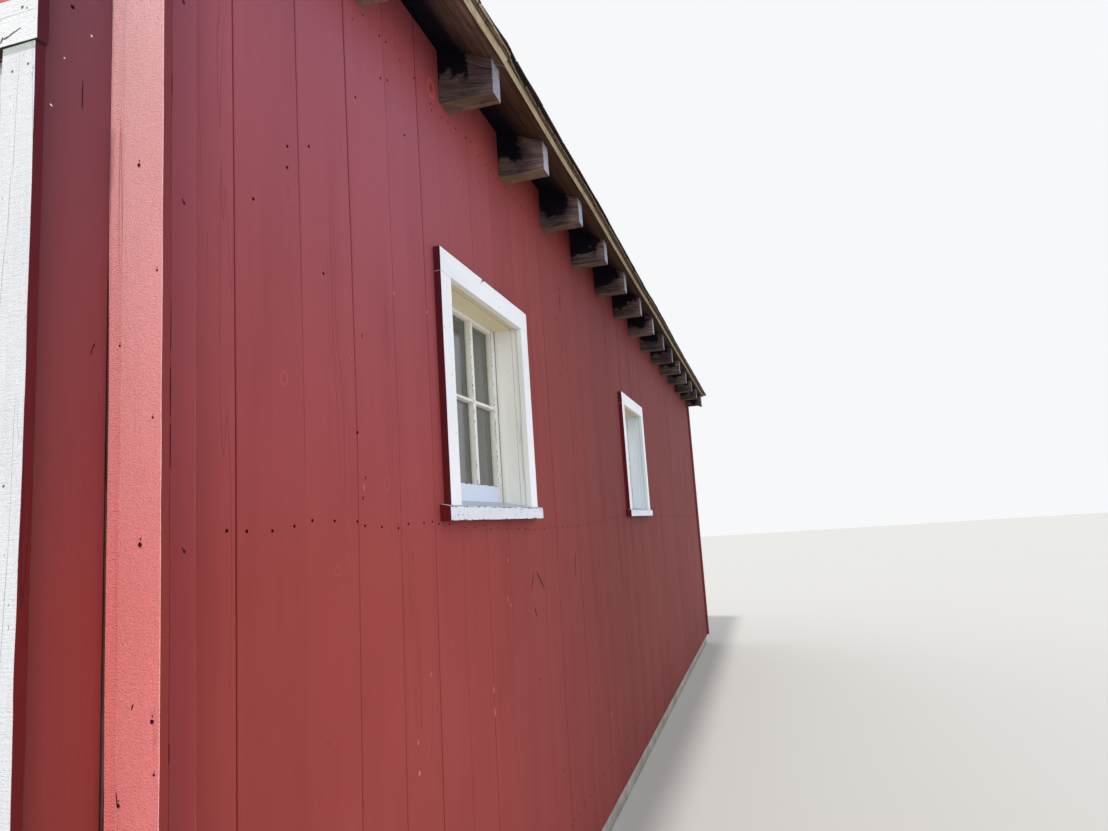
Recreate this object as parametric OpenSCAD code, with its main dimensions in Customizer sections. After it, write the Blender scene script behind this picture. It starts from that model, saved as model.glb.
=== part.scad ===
// Timber barn: board walls on a stud frame, cut tie beam tails under a gable roof,
// six-light windows in deep reveals and a front wall that stands forward with two door bays.
// Millimetres. X across, Y along the ridge with the doors at -Y, Z up from the ground.

/* [Body] */
// Width over the side wall boards
body_w = 6100; // [4800:10:8000]
// Spacing of the tie beams along the building
bay = 610; // [500:5:700]
// Number of spaces between tie beams
bays = 15; // [9:1:20]
// First tie beam's face to the end wall boards
end_gap = 47; // [40:1:55]
// Underside of the tie beams above the ground
wall_h = 3050; // [2800:10:3600]
// Wall board thickness
board_t = 22; // [18:1:30]
// Depth of the wall studs
frame_d = 140; // [125:5:180]
// Thickness of studs and plates
stud_t = 50; // [38:1:60]

/* [Foundation] */
// Top of the concrete strips above the ground
found_h = 150; // [100:5:300]
// Width of the concrete strips
found_w = 180; // [160:5:240]
// Top of the floor slab above the ground
slab_h = 120; // [80:5:145]
// Wall boards lap down over the concrete
board_lap = 40; // [20:5:80]

/* [Roof] */
// Rise of the roof over the run below
roof_rise = 125; // [90:5:200]
// Run that the rise is measured over
roof_run = 300; // [250:10:350]
// Tie beam tail past the side wall boards
tail_over = 194; // [150:1:260]
// Tie beam depth
beam_h = 203; // [180:1:240]
// Tail depth left at its outer end
tail_end_h = 126; // [110:1:150]
// Tie beam thickness
beam_t = 76; // [60:1:90]
// Gap round a tail where the boards are scribed to it
scribe_gap = 2; // [1:0.5:4]
// Rafter depth square to the slope
rafter_h = 140; // [100:5:160]
// Rafter thickness
rafter_t = 50; // [38:1:60]
// Ridge board thickness
ridge_t = 38; // [25:1:50]
// Ridge board depth
ridge_h = 200; // [170:5:240]
// Roof boards past the side wall boards
eave_over = 230; // [215:5:320]
// Roof board thickness
roof_board_t = 22; // [18:1:32]
// Wood shingle layer thickness
wood_shingle_t = 14; // [8:1:20]
// Asphalt shingle layer thickness
shingle_t = 10; // [6:1:16]
// Each shingle layer past the one below it at the eave
drip = 14; // [4:1:20]
// Each shingle layer past the one below it at the rakes
rake_drip = 10; // [4:1:20]
// Rake board depth, roof boards' thickness included
rake_h = 150; // [100:5:200]
// Rake board thickness
rake_t = 25; // [21:1:40]
// Joint between the two rake boards' plumb heads
rake_joint = 2; // [1:0.5:5]
// Ridge cap width down each slope
cap_w = 160; // [120:5:220]
// Ridge cap thickness
cap_t = 8; // [5:1:12]
// Air gap under the roof boards at the wall boards' top
roof_gap = 12; // [6:1:25]

/* [Windows] */
// Near edge of the first window's opening from the front wall boards
window_start = 1228; // [900:1:1400]
// Spacing of the two windows
window_pitch = 3096; // [2400:1:3600]
// Sill's front bottom edge above the ground
sill_z = 1625; // [1100:5:1700]
// One pane's width
light_w = 203; // [150:1:260]
// One pane's height
light_h = 303; // [220:1:360]
// Glazing bar width
muntin_w = 22; // [16:1:32]
// Sash stile width
stile_w = 43; // [35:1:60]
// Sash bottom rail depth
rail_w = 69; // [50:1:90]
// Sash top rail depth
top_rail_w = 20; // [18:1:60]
// Sash thickness
sash_t = 36; // [30:1:42]
// Sash front face behind the wall boards' face
sash_inset = 96; // [40:1:100]
// Pane behind the sash's front face
glass_inset = 22; // [12:1:24]
// Pane thickness
glass_t = 3; // [2:0.5:5]
// Pane's edge held in the sash groove
groove = 6; // [4:0.5:8]
// Gap round a pane in its groove
glass_gap = 0.2; // [0.1:0.1:1]
// Gap round the sash in its jambs
sash_gap = 2; // [1:0.5:4]
// Casing board width
casing_w = 82; // [60:1:110]
// Casing board thickness
casing_t = 23; // [15:1:30]
// Jamb board thickness
jamb_t = 20; // [16:1:30]
// Stop left by the jamb's rebate
stop_w = 10; // [6:1:15]
// Sill past the wall boards' face
sill_over = 35; // [25:1:60]
// Sill past each side casing
sill_horn = 34; // [10:1:60]
// Sill thickness at its front edge
sill_t = 44; // [35:1:60]
// Rise of the sill's top from its front edge to the sash
sill_slope = 28; // [10:1:40]

/* [Front] */
// Front wall stands forward of the corner boards' wall
front_proj = 132; // [80:1:200]
// Front wall's side inset from the side wall boards
front_inset = 111; // [90:1:125]
// Open joint beside the front wall's cheek
cheek_gap = 3; // [1:0.5:20]
// Cheek board thickness
cheek_t = 20; // [15:1:30]
// Underside of the door head casing above the ground
door_h = 2420; // [2100:10:2600]
// Width of the middle pier between the door casings' inner edges
pier_w = 450; // [380:10:700]
// Door side casing width
door_casing_w = 60; // [45:1:80]
// Door head casing depth
door_head_w = 82; // [60:1:120]
// Door side casing thickness
door_casing_t = 19; // [12:1:25]
// Door head casing thickness
door_head_t = 24; // [15:1:30]
// Door leaf thickness
leaf_t = 40; // [30:1:50]
// Door leaf face behind the front wall boards' face
leaf_inset = 20; // [5:1:40]
// Gap round and between the door leaves
leaf_gap = 5; // [3:0.5:8]
// Door frame lining thickness behind the leaves
door_stop_w = 20; // [12:1:25]
// Door leaf above the slab
leaf_foot = 12; // [8:1:25]
// Door brace board width
brace_w = 100; // [70:5:140]
// Door brace board thickness
brace_t = 18; // [12:1:25]
// Front header beam depth over the doors
header_h = 240; // [150:10:300]

/* [Corner boards] */
// Front-facing corner board width
corner_w = 82; // [60:1:120]
// Side-facing corner board width behind it
corner_side_w = 59; // [40:1:100]
// Corner board thickness
corner_t = 19; // [15:1:30]

/* [Hidden] */
hw = body_w / 2;
body_l = bays * bay + beam_t + 2 * end_gap;
hl = body_l / 2;
slope = roof_rise / roof_run;
pitch = atan(slope);
beam_top = wall_h + beam_h;
tail_x = hw + tail_over;
cut_x = tail_x - (beam_h - tail_end_h) / slope;
eave_x = hw + eave_over;
frame_x = hw - board_t;
frame_in = frame_x - frame_d;
frame_y = hl - board_t;
found_in = frame_x - found_w;
board_z = found_h - board_lap;
front_x = hw - front_inset;
front_y = hl + front_proj;
front_frame_y = front_y - board_t;
rake_drop = (rake_h - roof_board_t) / cos(pitch);
win_w = 2 * stile_w + 3 * light_w + 2 * muntin_w;
sash_h = rail_w + 2 * light_h + muntin_w + top_rail_w;
sash_z = sill_z + sill_t + sill_slope;
head_z = sash_z + sash_h;
stop_x = hw - sash_inset - sash_t;
door_in = pier_w / 2;
door_out = front_x - door_casing_w;
leaf_top = door_h - leaf_gap;
leaf_z = slab_h + leaf_foot;
leaf_y = front_y - leaf_inset;
window_ys = [for (k = [0, 1]) -hl + window_start + win_w / 2 + k * window_pitch];
beam_ys = [for (k = [0 : bays]) -hl + end_gap + beam_t / 2 + k * bay];
cut = 1;

// Height of the roof boards' underside at a distance from the ridge line
function under_z(x) = wall_h + tail_end_h + (tail_x - abs(x)) * slope;

// Half of a roof layer, from its eave edge to a plumb cut at the ridge
function layer_points(lift, t, over) = let (
        s = sin(pitch),
        c = cos(pitch),
        x0 = eave_x + over * c + lift * s,
        z0 = under_z(eave_x) - over * s + lift * c
    ) [[0, under_z(0) + lift / c],
       [x0, z0],
       [x0 + t * s, z0 + t * c],
       [0, under_z(0) + (lift + t) / c]];

// Stands a profile drawn in X and Z up and extrudes it from y0 to y1
module along_y(y0, y1) {
    translate([0, y1, 0])
        rotate([90, 0, 0])
            linear_extrude(y1 - y0)
                children();
}

// Stands a profile drawn in Y and Z up and extrudes it from x0 to x1
module along_x(x0, x1) {
    translate([x0, 0, 0])
        rotate([90, 0, 90])
            linear_extrude(x1 - x0)
                children();
}

// Copies its children to the other side of the building
module both_sides() {
    children();
    mirror([1, 0, 0])
        children();
}

module rect(x0, z0, x1, z1) {
    translate([x0, z0])
        square([x1 - x0, z1 - z0]);
}

// Gable outline up to the roof, between plumb sides at x0 and x1
module gable_profile(x0, x1, z0, gap) {
    polygon([[x0, z0], [x1, z0], [x1, under_z(x1) - gap], [0, under_z(0) - gap],
             [x0, under_z(x0) - gap]]);
}

/* Foundation */
module foundation_side() {
    translate([found_in, -frame_y, 0])
        cube([found_w, 2 * frame_y, found_h]);
}

module foundation_right() {
    color("silver") foundation_side();
}

module foundation_left() {
    color("silver") mirror([1, 0, 0]) foundation_side();
}

module foundation_back() {
    color("silver")
        translate([-found_in, frame_y - found_w, 0])
            cube([2 * found_in, found_w, found_h]);
}

module foundation_front() {
    color("silver") {
        both_sides()
            translate([door_out, -front_frame_y, 0])
                cube([front_x - cheek_t - door_out, front_frame_y - frame_y, found_h]);
        translate([-door_in, -front_frame_y, 0])
            cube([2 * door_in, found_w, found_h]);
    }
}

module floor_slab() {
    color("gainsboro")
        difference() {
            union() {
                translate([-found_in, -frame_y, 0])
                    cube([2 * found_in, 2 * frame_y - found_w, slab_h]);
                translate([-door_out, -front_y, 0])
                    cube([2 * door_out, front_y - frame_y, slab_h]);
            }
            translate([-door_in, -front_y - cut, -cut])
                cube([2 * door_in, front_y - front_frame_y + found_w + cut, slab_h + 2 * cut]);
        }
}

/* Wall frames */

// Rough opening of one window in a side wall, drawn in Y and Z
module rough_opening(y, grow) {
    w = win_w / 2 + jamb_t + grow;
    rect(y - w, sill_z, y + w, head_z + jamb_t + grow);
}

// Trimmers, sill piece and header round one window
module window_trimmers(y) {
    w = win_w / 2 + jamb_t + stud_t;
    rect(y - w, sill_z - stud_t, y + w, head_z + jamb_t + 2 * stud_t);
}

module side_frame() {
    along_x(frame_in, frame_x)
        difference() {
            rect(-frame_y, found_h, frame_y, wall_h);
            difference() {
                rect(-frame_y + stud_t, found_h + stud_t, frame_y - stud_t, wall_h - 2 * stud_t);
                for (y = beam_ys)
                    rect(y - stud_t / 2, found_h, y + stud_t / 2, wall_h);
                for (y = window_ys)
                    window_trimmers(y);
            }
            for (y = window_ys)
                rough_opening(y, 0);
        }
}

module right_frame() {
    color("burlywood") side_frame();
}

module left_frame() {
    color("burlywood") mirror([1, 0, 0]) side_frame();
}

// Studs across an end wall at the tie beams' spacing
module end_studs(z0, z1) {
    n = floor(frame_in / bay);
    for (k = [-n : n])
        rect(k * bay - stud_t / 2, z0, k * bay + stud_t / 2, z1);
}

// Slot for the ridge board through an end wall
module ridge_slot(gap) {
    z = under_z(ridge_t / 2);
    rect(-ridge_t / 2 - gap, z - ridge_h - gap, ridge_t / 2 + gap, z + ridge_h);
}

// Gable part of an end frame: sloping plates on studs
module gable_frame(x1, z0, z1) {
    difference() {
        gable_profile(-x1, x1, z0, 0);
        difference() {
            gable_profile(-x1 + stud_t, x1 - stud_t, z1, stud_t / cos(pitch));
            end_studs(z0, under_z(0));
        }
        ridge_slot(0);
    }
}

module back_frame() {
    color("burlywood") {
        along_y(frame_y - frame_d, frame_y)
            difference() {
                rect(-frame_in, found_h, frame_in, wall_h);
                difference() {
                    rect(-frame_in + stud_t, found_h + stud_t, frame_in - stud_t, wall_h - 2 * stud_t);
                    end_studs(found_h, wall_h);
                }
            }
        along_y(hl - end_gap, frame_y)
            gable_frame(frame_x, wall_h, wall_h + stud_t);
    }
}

module front_frame() {
    color("burlywood")
        along_y(-front_frame_y, -frame_y)
            difference() {
                union() {
                    rect(-front_x + cheek_t, found_h, front_x - cheek_t, door_h);
                    gable_frame(front_x - cheek_t, door_h, door_h + header_h);
                }
                for (s = [-1, 1])
                    rect(min(s * door_in, s * door_out), -cut, max(s * door_in, s * door_out), door_h);
                rect(-door_in + stud_t, found_h + stud_t, door_in - stud_t, door_h);
            }
}

/* Boarded walls */

// Side wall boards, cut for the windows and scribed round the tails
module side_boards() {
    along_x(frame_x, hw)
        difference() {
            rect(-hl, board_z, hl, under_z(hw) - roof_gap);
            for (y = window_ys)
                rough_opening(y, scribe_gap);
            for (y = beam_ys)
                rect(y - beam_t / 2 - scribe_gap, wall_h, y + beam_t / 2 + scribe_gap, beam_top + roof_gap);
        }
}

module right_wall() {
    color("firebrick") side_boards();
}

module left_wall() {
    color("firebrick") mirror([1, 0, 0]) side_boards();
}

module back_wall() {
    color("firebrick")
        along_y(frame_y, hl)
            difference() {
                gable_profile(-frame_x, frame_x, board_z, roof_gap);
                ridge_slot(scribe_gap);
            }
}

module front_gable() {
    color("firebrick")
        along_y(-front_y, -front_frame_y)
            difference() {
                gable_profile(-front_x, front_x, door_h, roof_gap);
                ridge_slot(scribe_gap);
            }
}

module front_piers() {
    color("firebrick")
        along_y(-front_y, -front_frame_y) {
            rect(-front_x, board_z, -door_out, door_h);
            rect(-door_in, board_z, door_in, door_h);
            rect(door_out, board_z, front_x, door_h);
        }
}

// Plumb board with its top cut to the roof slope, a gap under it
module plumb_board(x0, x1, z0, gap) {
    polygon([[x0, z0], [x1, z0], [x1, under_z(x1) - gap], [x0, under_z(x0) - gap]]);
}

module front_cheeks() {
    color("firebrick")
        both_sides()
            along_y(-front_frame_y, -frame_y)
                plumb_board(front_x - cheek_t, front_x, board_z, roof_gap);
}

module front_returns() {
    color("firebrick")
        both_sides()
            along_y(-hl, -frame_y)
                plumb_board(front_x + cheek_gap, frame_x, board_z, roof_gap);
}

// End-facing corner board up to the roof, with the side-facing one behind it under the tail
module corner_boards(gap) {
    outer = hw + corner_t;
    along_y(-hl - corner_t, -hl)
        plumb_board(outer - corner_w, outer, board_z, gap);
    translate([hw, -hl - cut, board_z])
        cube([corner_t, corner_side_w + cut, wall_h - scribe_gap - board_z]);
}

module front_corner_boards() {
    color("indianred") both_sides() corner_boards(roof_gap);
}

module back_corner_boards() {
    color("indianred") mirror([0, 1, 0]) both_sides() corner_boards(rake_drop + scribe_gap);
}

/* Windows */

// Section of the sill: weathered top, level seat under the sash
module sill_profile(x_in) {
    intersection() {
        polygon([[frame_in, sill_z], [hw + sill_over, sill_z], [hw + sill_over, sill_z + sill_t],
                 [hw - sash_inset, sash_z], [frame_in, sash_z]]);
        rect(x_in, sill_z, hw + sill_over, sash_z);
    }
}

module sill(y) {
    inner = win_w / 2 + jamb_t;
    outer = win_w / 2 + casing_w + sill_horn;
    along_y(y - inner, y + inner)
        sill_profile(frame_in);
    along_y(y - outer, y + outer)
        sill_profile(hw);
}

module casing(y) {
    difference() {
        along_x(hw, hw + casing_t)
            difference() {
                rect(y - win_w / 2 - casing_w, sill_z, y + win_w / 2 + casing_w, head_z + casing_w);
                rect(y - win_w / 2, sill_z - cut, y + win_w / 2, head_z);
            }
        sill(y);
    }
}

// Jambs and head, rebated so that the sash rests against a stop
module jambs(y) {
    w = win_w / 2;
    difference() {
        along_x(frame_in, hw)
            difference() {
                rect(y - w - jamb_t, sill_z, y + w + jamb_t, head_z + jamb_t);
                rect(y - w + stop_w, sill_z - cut, y + w - stop_w, head_z - stop_w);
            }
        along_x(stop_x, hw + cut)
            rect(y - w, sill_z - cut, y + w, head_z);
        sill(y);
    }
}

// The six lights of one sash, drawn in Y and Z and grown for grooves and panes
module lights(y, grow) {
    for (i = [0 : 2], j = [0, 1]) {
        y0 = y - win_w / 2 + stile_w + i * (light_w + muntin_w);
        z0 = sash_z + rail_w + j * (light_h + muntin_w);
        rect(y0 - grow, z0 - grow, y0 + light_w + grow, z0 + light_h + grow);
    }
}

module sash(y) {
    x1 = hw - sash_inset;
    w = win_w / 2 - sash_gap;
    xg = x1 - glass_inset;
    difference() {
        along_x(x1 - sash_t, x1)
            difference() {
                rect(y - w, sash_z, y + w, head_z - sash_gap);
                lights(y, 0);
            }
        along_x(xg - glass_t - glass_gap, xg + glass_gap)
            lights(y, groove);
    }
}

module panes(y) {
    xg = hw - sash_inset - glass_inset;
    along_x(xg - glass_t, xg)
        lights(y, groove - glass_gap);
}

module right_window_casings() {
    color("white") for (y = window_ys) casing(y);
}

module left_window_casings() {
    color("white") mirror([1, 0, 0]) for (y = window_ys) casing(y);
}

module right_window_sills() {
    color("whitesmoke") for (y = window_ys) sill(y);
}

module left_window_sills() {
    color("whitesmoke") mirror([1, 0, 0]) for (y = window_ys) sill(y);
}

module right_window_jambs() {
    color("beige") for (y = window_ys) jambs(y);
}

module left_window_jambs() {
    color("beige") mirror([1, 0, 0]) for (y = window_ys) jambs(y);
}

module right_window_sashes() {
    color("ivory") for (y = window_ys) sash(y);
}

module left_window_sashes() {
    color("ivory") mirror([1, 0, 0]) for (y = window_ys) sash(y);
}

module right_window_glass() {
    color("lightblue") for (y = window_ys) panes(y);
}

module left_window_glass() {
    color("lightblue") mirror([1, 0, 0]) for (y = window_ys) panes(y);
}

/* Roof */

// Tie beams across the building, their tails cut to the roof slope
module tie_beams() {
    color("peru")
        for (y = beam_ys)
            along_y(y - beam_t / 2, y + beam_t / 2)
                polygon([[-tail_x, wall_h], [tail_x, wall_h], [tail_x, wall_h + tail_end_h],
                         [cut_x, beam_top], [-cut_x, beam_top], [-tail_x, wall_h + tail_end_h]]);
}

// Rafters with a level foot on the tie beams and a plumb head on the ridge board
module rafters() {
    plumb = rafter_h / cos(pitch);
    color("tan")
        for (y = beam_ys)
            both_sides()
                along_y(y - rafter_t / 2, y + rafter_t / 2)
                    polygon([[ridge_t / 2, under_z(ridge_t / 2)],
                             [ridge_t / 2, under_z(ridge_t / 2) - plumb],
                             [cut_x - plumb / slope, beam_top],
                             [cut_x, beam_top]]);
}

module ridge_board() {
    color("tan")
        translate([-ridge_t / 2, -front_y, under_z(ridge_t / 2) - ridge_h])
            cube([ridge_t, front_y + hl, ridge_h]);
}

// One roof layer on the right-hand slope, past the eave by over and past the end walls by ends
module roof_layer(lift, t, over, ends) {
    along_y(-front_y - ends, hl + ends)
        polygon(layer_points(lift, t, over));
}

module roof_boards() {
    roof_layer(0, roof_board_t, 0, 0);
}

module wood_shingles() {
    roof_layer(roof_board_t, wood_shingle_t, drip, rake_t + rake_drip);
}

module shingles() {
    roof_layer(roof_board_t + wood_shingle_t, shingle_t, 2 * drip, rake_t + 2 * rake_drip);
}

module right_roof_boards() {
    color("rosybrown") roof_boards();
}

module left_roof_boards() {
    color("rosybrown") mirror([1, 0, 0]) roof_boards();
}

module right_wood_shingles() {
    color("sienna") wood_shingles();
}

module left_wood_shingles() {
    color("sienna") mirror([1, 0, 0]) wood_shingles();
}

module right_shingles() {
    color("dimgray") shingles();
}

module left_shingles() {
    color("dimgray") mirror([1, 0, 0]) shingles();
}

module ridge_cap() {
    lift = (roof_board_t + wood_shingle_t + shingle_t) / cos(pitch);
    xc = cap_w * cos(pitch);
    xo = xc + cap_t * sin(pitch);
    z0 = under_z(xc) + lift;
    z1 = z0 + cap_t * cos(pitch);
    ends = rake_t + 2 * rake_drip;
    color("slategray")
        along_y(-front_y - ends, hl + ends)
            polygon([[-xc, z0], [0, under_z(0) + lift], [xc, z0], [xo, z1],
                     [0, under_z(0) + lift + cap_t / cos(pitch)], [-xo, z1]]);
}

// Rake boards over the roof boards' ends and the end wall's face, out to the tails' ends
module rake_boards(y0) {
    x0 = rake_joint / 2;
    over = roof_board_t / cos(pitch);
    both_sides()
        along_y(y0, y0 + rake_t)
            polygon([[x0, under_z(x0) + over], [tail_x, under_z(tail_x) + over],
                     [tail_x, under_z(tail_x) - rake_drop], [x0, under_z(x0) - rake_drop]]);
}

module back_rake_boards() {
    color("indianred") rake_boards(hl);
}

module front_rake_boards() {
    color("indianred") rake_boards(-front_y - rake_t);
}

/* Doors */

// Side casings with the thicker head casing on top, one set for each bay
module door_casings() {
    color("white")
        both_sides() {
            along_y(-front_y - door_casing_t, -front_y) {
                rect(door_in - door_casing_w, board_z, door_in, door_h + cut);
                rect(door_out, board_z, front_x, door_h + cut);
            }
            along_y(-front_y - door_head_t, -front_y)
                rect(door_in - door_casing_w, door_h, front_x, door_h + door_head_w);
        }
}

// Lining behind the leaves, which close against it
module door_frames() {
    color("burlywood")
        both_sides()
            along_y(-leaf_y + leaf_t, -frame_y)
                difference() {
                    rect(door_in, slab_h, door_out, door_h);
                    rect(door_in + door_stop_w, slab_h - cut, door_out - door_stop_w,
                         door_h - door_stop_w);
                }
}

// Outline of one leaf, shrunk by inset; the outer leaf of a bay is k = 1
module leaf_outline(k, inset) {
    mid = (door_in + door_out) / 2;
    x0 = k == 0 ? door_in + leaf_gap : mid + leaf_gap / 2;
    x1 = k == 0 ? mid - leaf_gap / 2 : door_out - leaf_gap;
    rect(x0 + inset, leaf_z + inset, x1 - inset, leaf_top - inset);
}

module door_leaves() {
    color("brown")
        both_sides()
            along_y(-leaf_y, -leaf_y + leaf_t) {
                leaf_outline(0, 0);
                leaf_outline(1, 0);
            }
}

// Diagonal board corner to corner inside one leaf's frame boards
module diagonal(k) {
    mid = (door_in + door_out) / 2;
    x0 = k == 0 ? door_in + leaf_gap : mid + leaf_gap / 2;
    x1 = k == 0 ? mid - leaf_gap / 2 : door_out - leaf_gap;
    dx = x1 - x0;
    dz = leaf_top - leaf_z;
    from = k == 0 ? x0 : x1;
    turn = k == 0 ? atan2(dz, dx) : 180 - atan2(dz, dx);
    translate([from, leaf_z])
        rotate(turn)
            translate([0, -brace_w / 2])
                square([norm([dx, dz]), brace_w]);
}

module door_braces() {
    color("white")
        both_sides()
            along_y(-leaf_y - brace_t, -leaf_y)
                for (k = [0, 1]) {
                    difference() {
                        leaf_outline(k, 0);
                        leaf_outline(k, brace_w);
                    }
                    intersection() {
                        leaf_outline(k, 0);
                        diagonal(k);
                    }
                }
}

foundation_front();
foundation_back();
foundation_left();
foundation_right();
floor_slab();
right_frame();
left_frame();
back_frame();
front_frame();
right_wall();
left_wall();
back_wall();
front_gable();
front_piers();
front_cheeks();
front_returns();
front_corner_boards();
back_corner_boards();
right_window_casings();
left_window_casings();
right_window_sills();
left_window_sills();
right_window_jambs();
left_window_jambs();
right_window_sashes();
left_window_sashes();
right_window_glass();
left_window_glass();
tie_beams();
rafters();
ridge_board();
right_roof_boards();
left_roof_boards();
right_wood_shingles();
left_wood_shingles();
right_shingles();
left_shingles();
ridge_cap();
front_rake_boards();
back_rake_boards();
door_casings();
door_frames();
door_leaves();
door_braces();
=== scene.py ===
import math
import random

import bmesh
import bpy
from mathutils import Matrix, Vector, noise


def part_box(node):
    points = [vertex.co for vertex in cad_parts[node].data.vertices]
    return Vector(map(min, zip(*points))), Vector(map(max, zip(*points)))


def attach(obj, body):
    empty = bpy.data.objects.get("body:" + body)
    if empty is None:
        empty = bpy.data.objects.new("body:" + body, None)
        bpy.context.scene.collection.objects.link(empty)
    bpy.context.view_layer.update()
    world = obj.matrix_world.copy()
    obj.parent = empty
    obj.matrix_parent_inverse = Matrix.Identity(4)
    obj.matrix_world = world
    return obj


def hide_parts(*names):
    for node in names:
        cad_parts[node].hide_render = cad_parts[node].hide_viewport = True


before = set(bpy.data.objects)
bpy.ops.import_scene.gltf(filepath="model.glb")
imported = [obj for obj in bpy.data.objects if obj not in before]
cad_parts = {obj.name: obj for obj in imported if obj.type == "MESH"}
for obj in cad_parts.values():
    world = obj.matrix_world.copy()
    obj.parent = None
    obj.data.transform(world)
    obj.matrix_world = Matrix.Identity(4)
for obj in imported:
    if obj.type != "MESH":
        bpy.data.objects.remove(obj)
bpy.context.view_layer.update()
# Without a seed the noise that roughens edges would change from run to run
noise.seed_set(1)

# Sizes from the frame, in metres
wall_lo, wall_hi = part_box("right_wall")
beam_lo, beam_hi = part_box("tie_beams")
roof_lo, roof_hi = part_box("right_roof_boards")
pier_lo, pier_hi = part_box("front_piers")
cap_lo, cap_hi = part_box("ridge_cap")
HW, HL, SIDE_TOP = wall_hi
BOARD_T, BOARD_Z = HW - wall_lo.x, wall_lo.z
WALL_H, BEAM_H, TAIL_X = beam_lo.z, beam_hi.z - beam_lo.z, beam_hi.x
FRONT_X, FRONT_Y, DOOR_H = pier_hi.x, -pier_lo.y, pier_hi.z

# Sizes repeated from the part
SLOPE = 125 / 300
PITCH = math.atan(SLOPE)
COS, SIN = math.cos(PITCH), math.sin(PITCH)
BEAM_T = 0.076
TAIL_END = 0.126
ROOF_T, WOOD_T, SHINGLE_T = 0.022, 0.014, 0.007
ROOF_GAP = 0.012
SCRIBE = 0.002
RIDGE_T, RIDGE_H = 0.038, 0.200
EAVE_X = roof_hi.x - ROOF_T * SIN
RAKE_H, RAKE_T = 0.150, 0.025
DRIP = 0.010
ROOF_FRONT, ROOF_BACK = roof_lo.y, roof_hi.y
BEAM_YS = [beam_lo.y + BEAM_T / 2 + k * 0.61 for k in range(16)]
CASING_W, CASING_T = 0.082, 0.023
JAMB_T = 0.020
STILE, RAIL, MUNTIN, TOP_RAIL = 0.043, 0.069, 0.022, 0.020
LIGHT_W, LIGHT_H = 0.203, 0.303
WIN_W = 2 * STILE + 3 * LIGHT_W + 2 * MUNTIN
HALF = WIN_W / 2
SILL_Z, SILL_T, SILL_SLOPE = 1.625, 0.044, 0.028
SILL_OVER, SILL_HORN = 0.035, 0.034
SASH_Z = SILL_Z + SILL_T + SILL_SLOPE
HEAD_Z = SASH_Z + RAIL + 2 * LIGHT_H + MUNTIN + TOP_RAIL
SASH_IN, SASH_T = 0.096, 0.036
GLASS_IN = 0.022
FRAME_IN = HW - BOARD_T - 0.140
WINDOW_YS = [-HL + 1.228 + WIN_W / 2 + k * 3.096 for k in (0, 1)]
CORNER_W, CORNER_SIDE, CORNER_T = 0.082, 0.059, 0.019

# Heights well clear of the barn
ABOVE, BELOW = 99.0, -1.0


def under_z(x):
    """Height of the roof boards' underside."""
    return WALL_H + TAIL_END + (TAIL_X - abs(x)) * SLOPE


# Materials

SKINS = {}


class Value:
    """A node's output. Arithmetic with it adds nodes to its tree."""

    def __init__(self, tree, socket):
        self.tree, self.socket = tree, socket

    def __add__(self, other):
        return self.tree.math("ADD", self, other)

    def __radd__(self, other):
        return self.tree.math("ADD", other, self)

    def __sub__(self, other):
        return self.tree.math("SUBTRACT", self, other)

    def __rsub__(self, other):
        return self.tree.math("SUBTRACT", other, self)

    def __mul__(self, other):
        return self.tree.math("MULTIPLY", self, other)

    def __abs__(self):
        return self.tree.math("ABSOLUTE", self)

    def parts(self):
        """The three numbers of a vector or colour."""
        return [Value(self.tree, socket) for socket in self.tree.node("SeparateXYZ", {0: self}).outputs]

    def ramp(self, lo, hi, a=0.0, b=1.0):
        """From a at lo to b at hi, and level beyond them."""
        return self.tree.add("MapRange", dict(enumerate((self, lo, hi, a, b))))

    def swing(self, amount):
        """A texture value turned to a small plus or minus."""
        return (self - 0.5) * amount


class Tree:
    """The nodes of a shader."""

    def __init__(self, tree):
        self.tree = tree
        tree.nodes.clear()

    def node(self, kind, inputs, **attributes):
        made = self.tree.nodes.new("ShaderNode" + kind)
        for key, value in attributes.items():
            setattr(made, key, value)
        for key, value in inputs.items():
            self.put(made.inputs[key], value)
        return made

    def add(self, kind, inputs, output=0, **attributes):
        return Value(self, self.node(kind, inputs, **attributes).outputs[output])

    def put(self, socket, value):
        if isinstance(value, Value):
            self.tree.links.new(value.socket, socket)
        else:
            socket.default_value = value[:3] if socket.type == "VECTOR" else value

    def math(self, operation, *values):
        return self.add("Math", dict(enumerate(values)), operation=operation)


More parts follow.
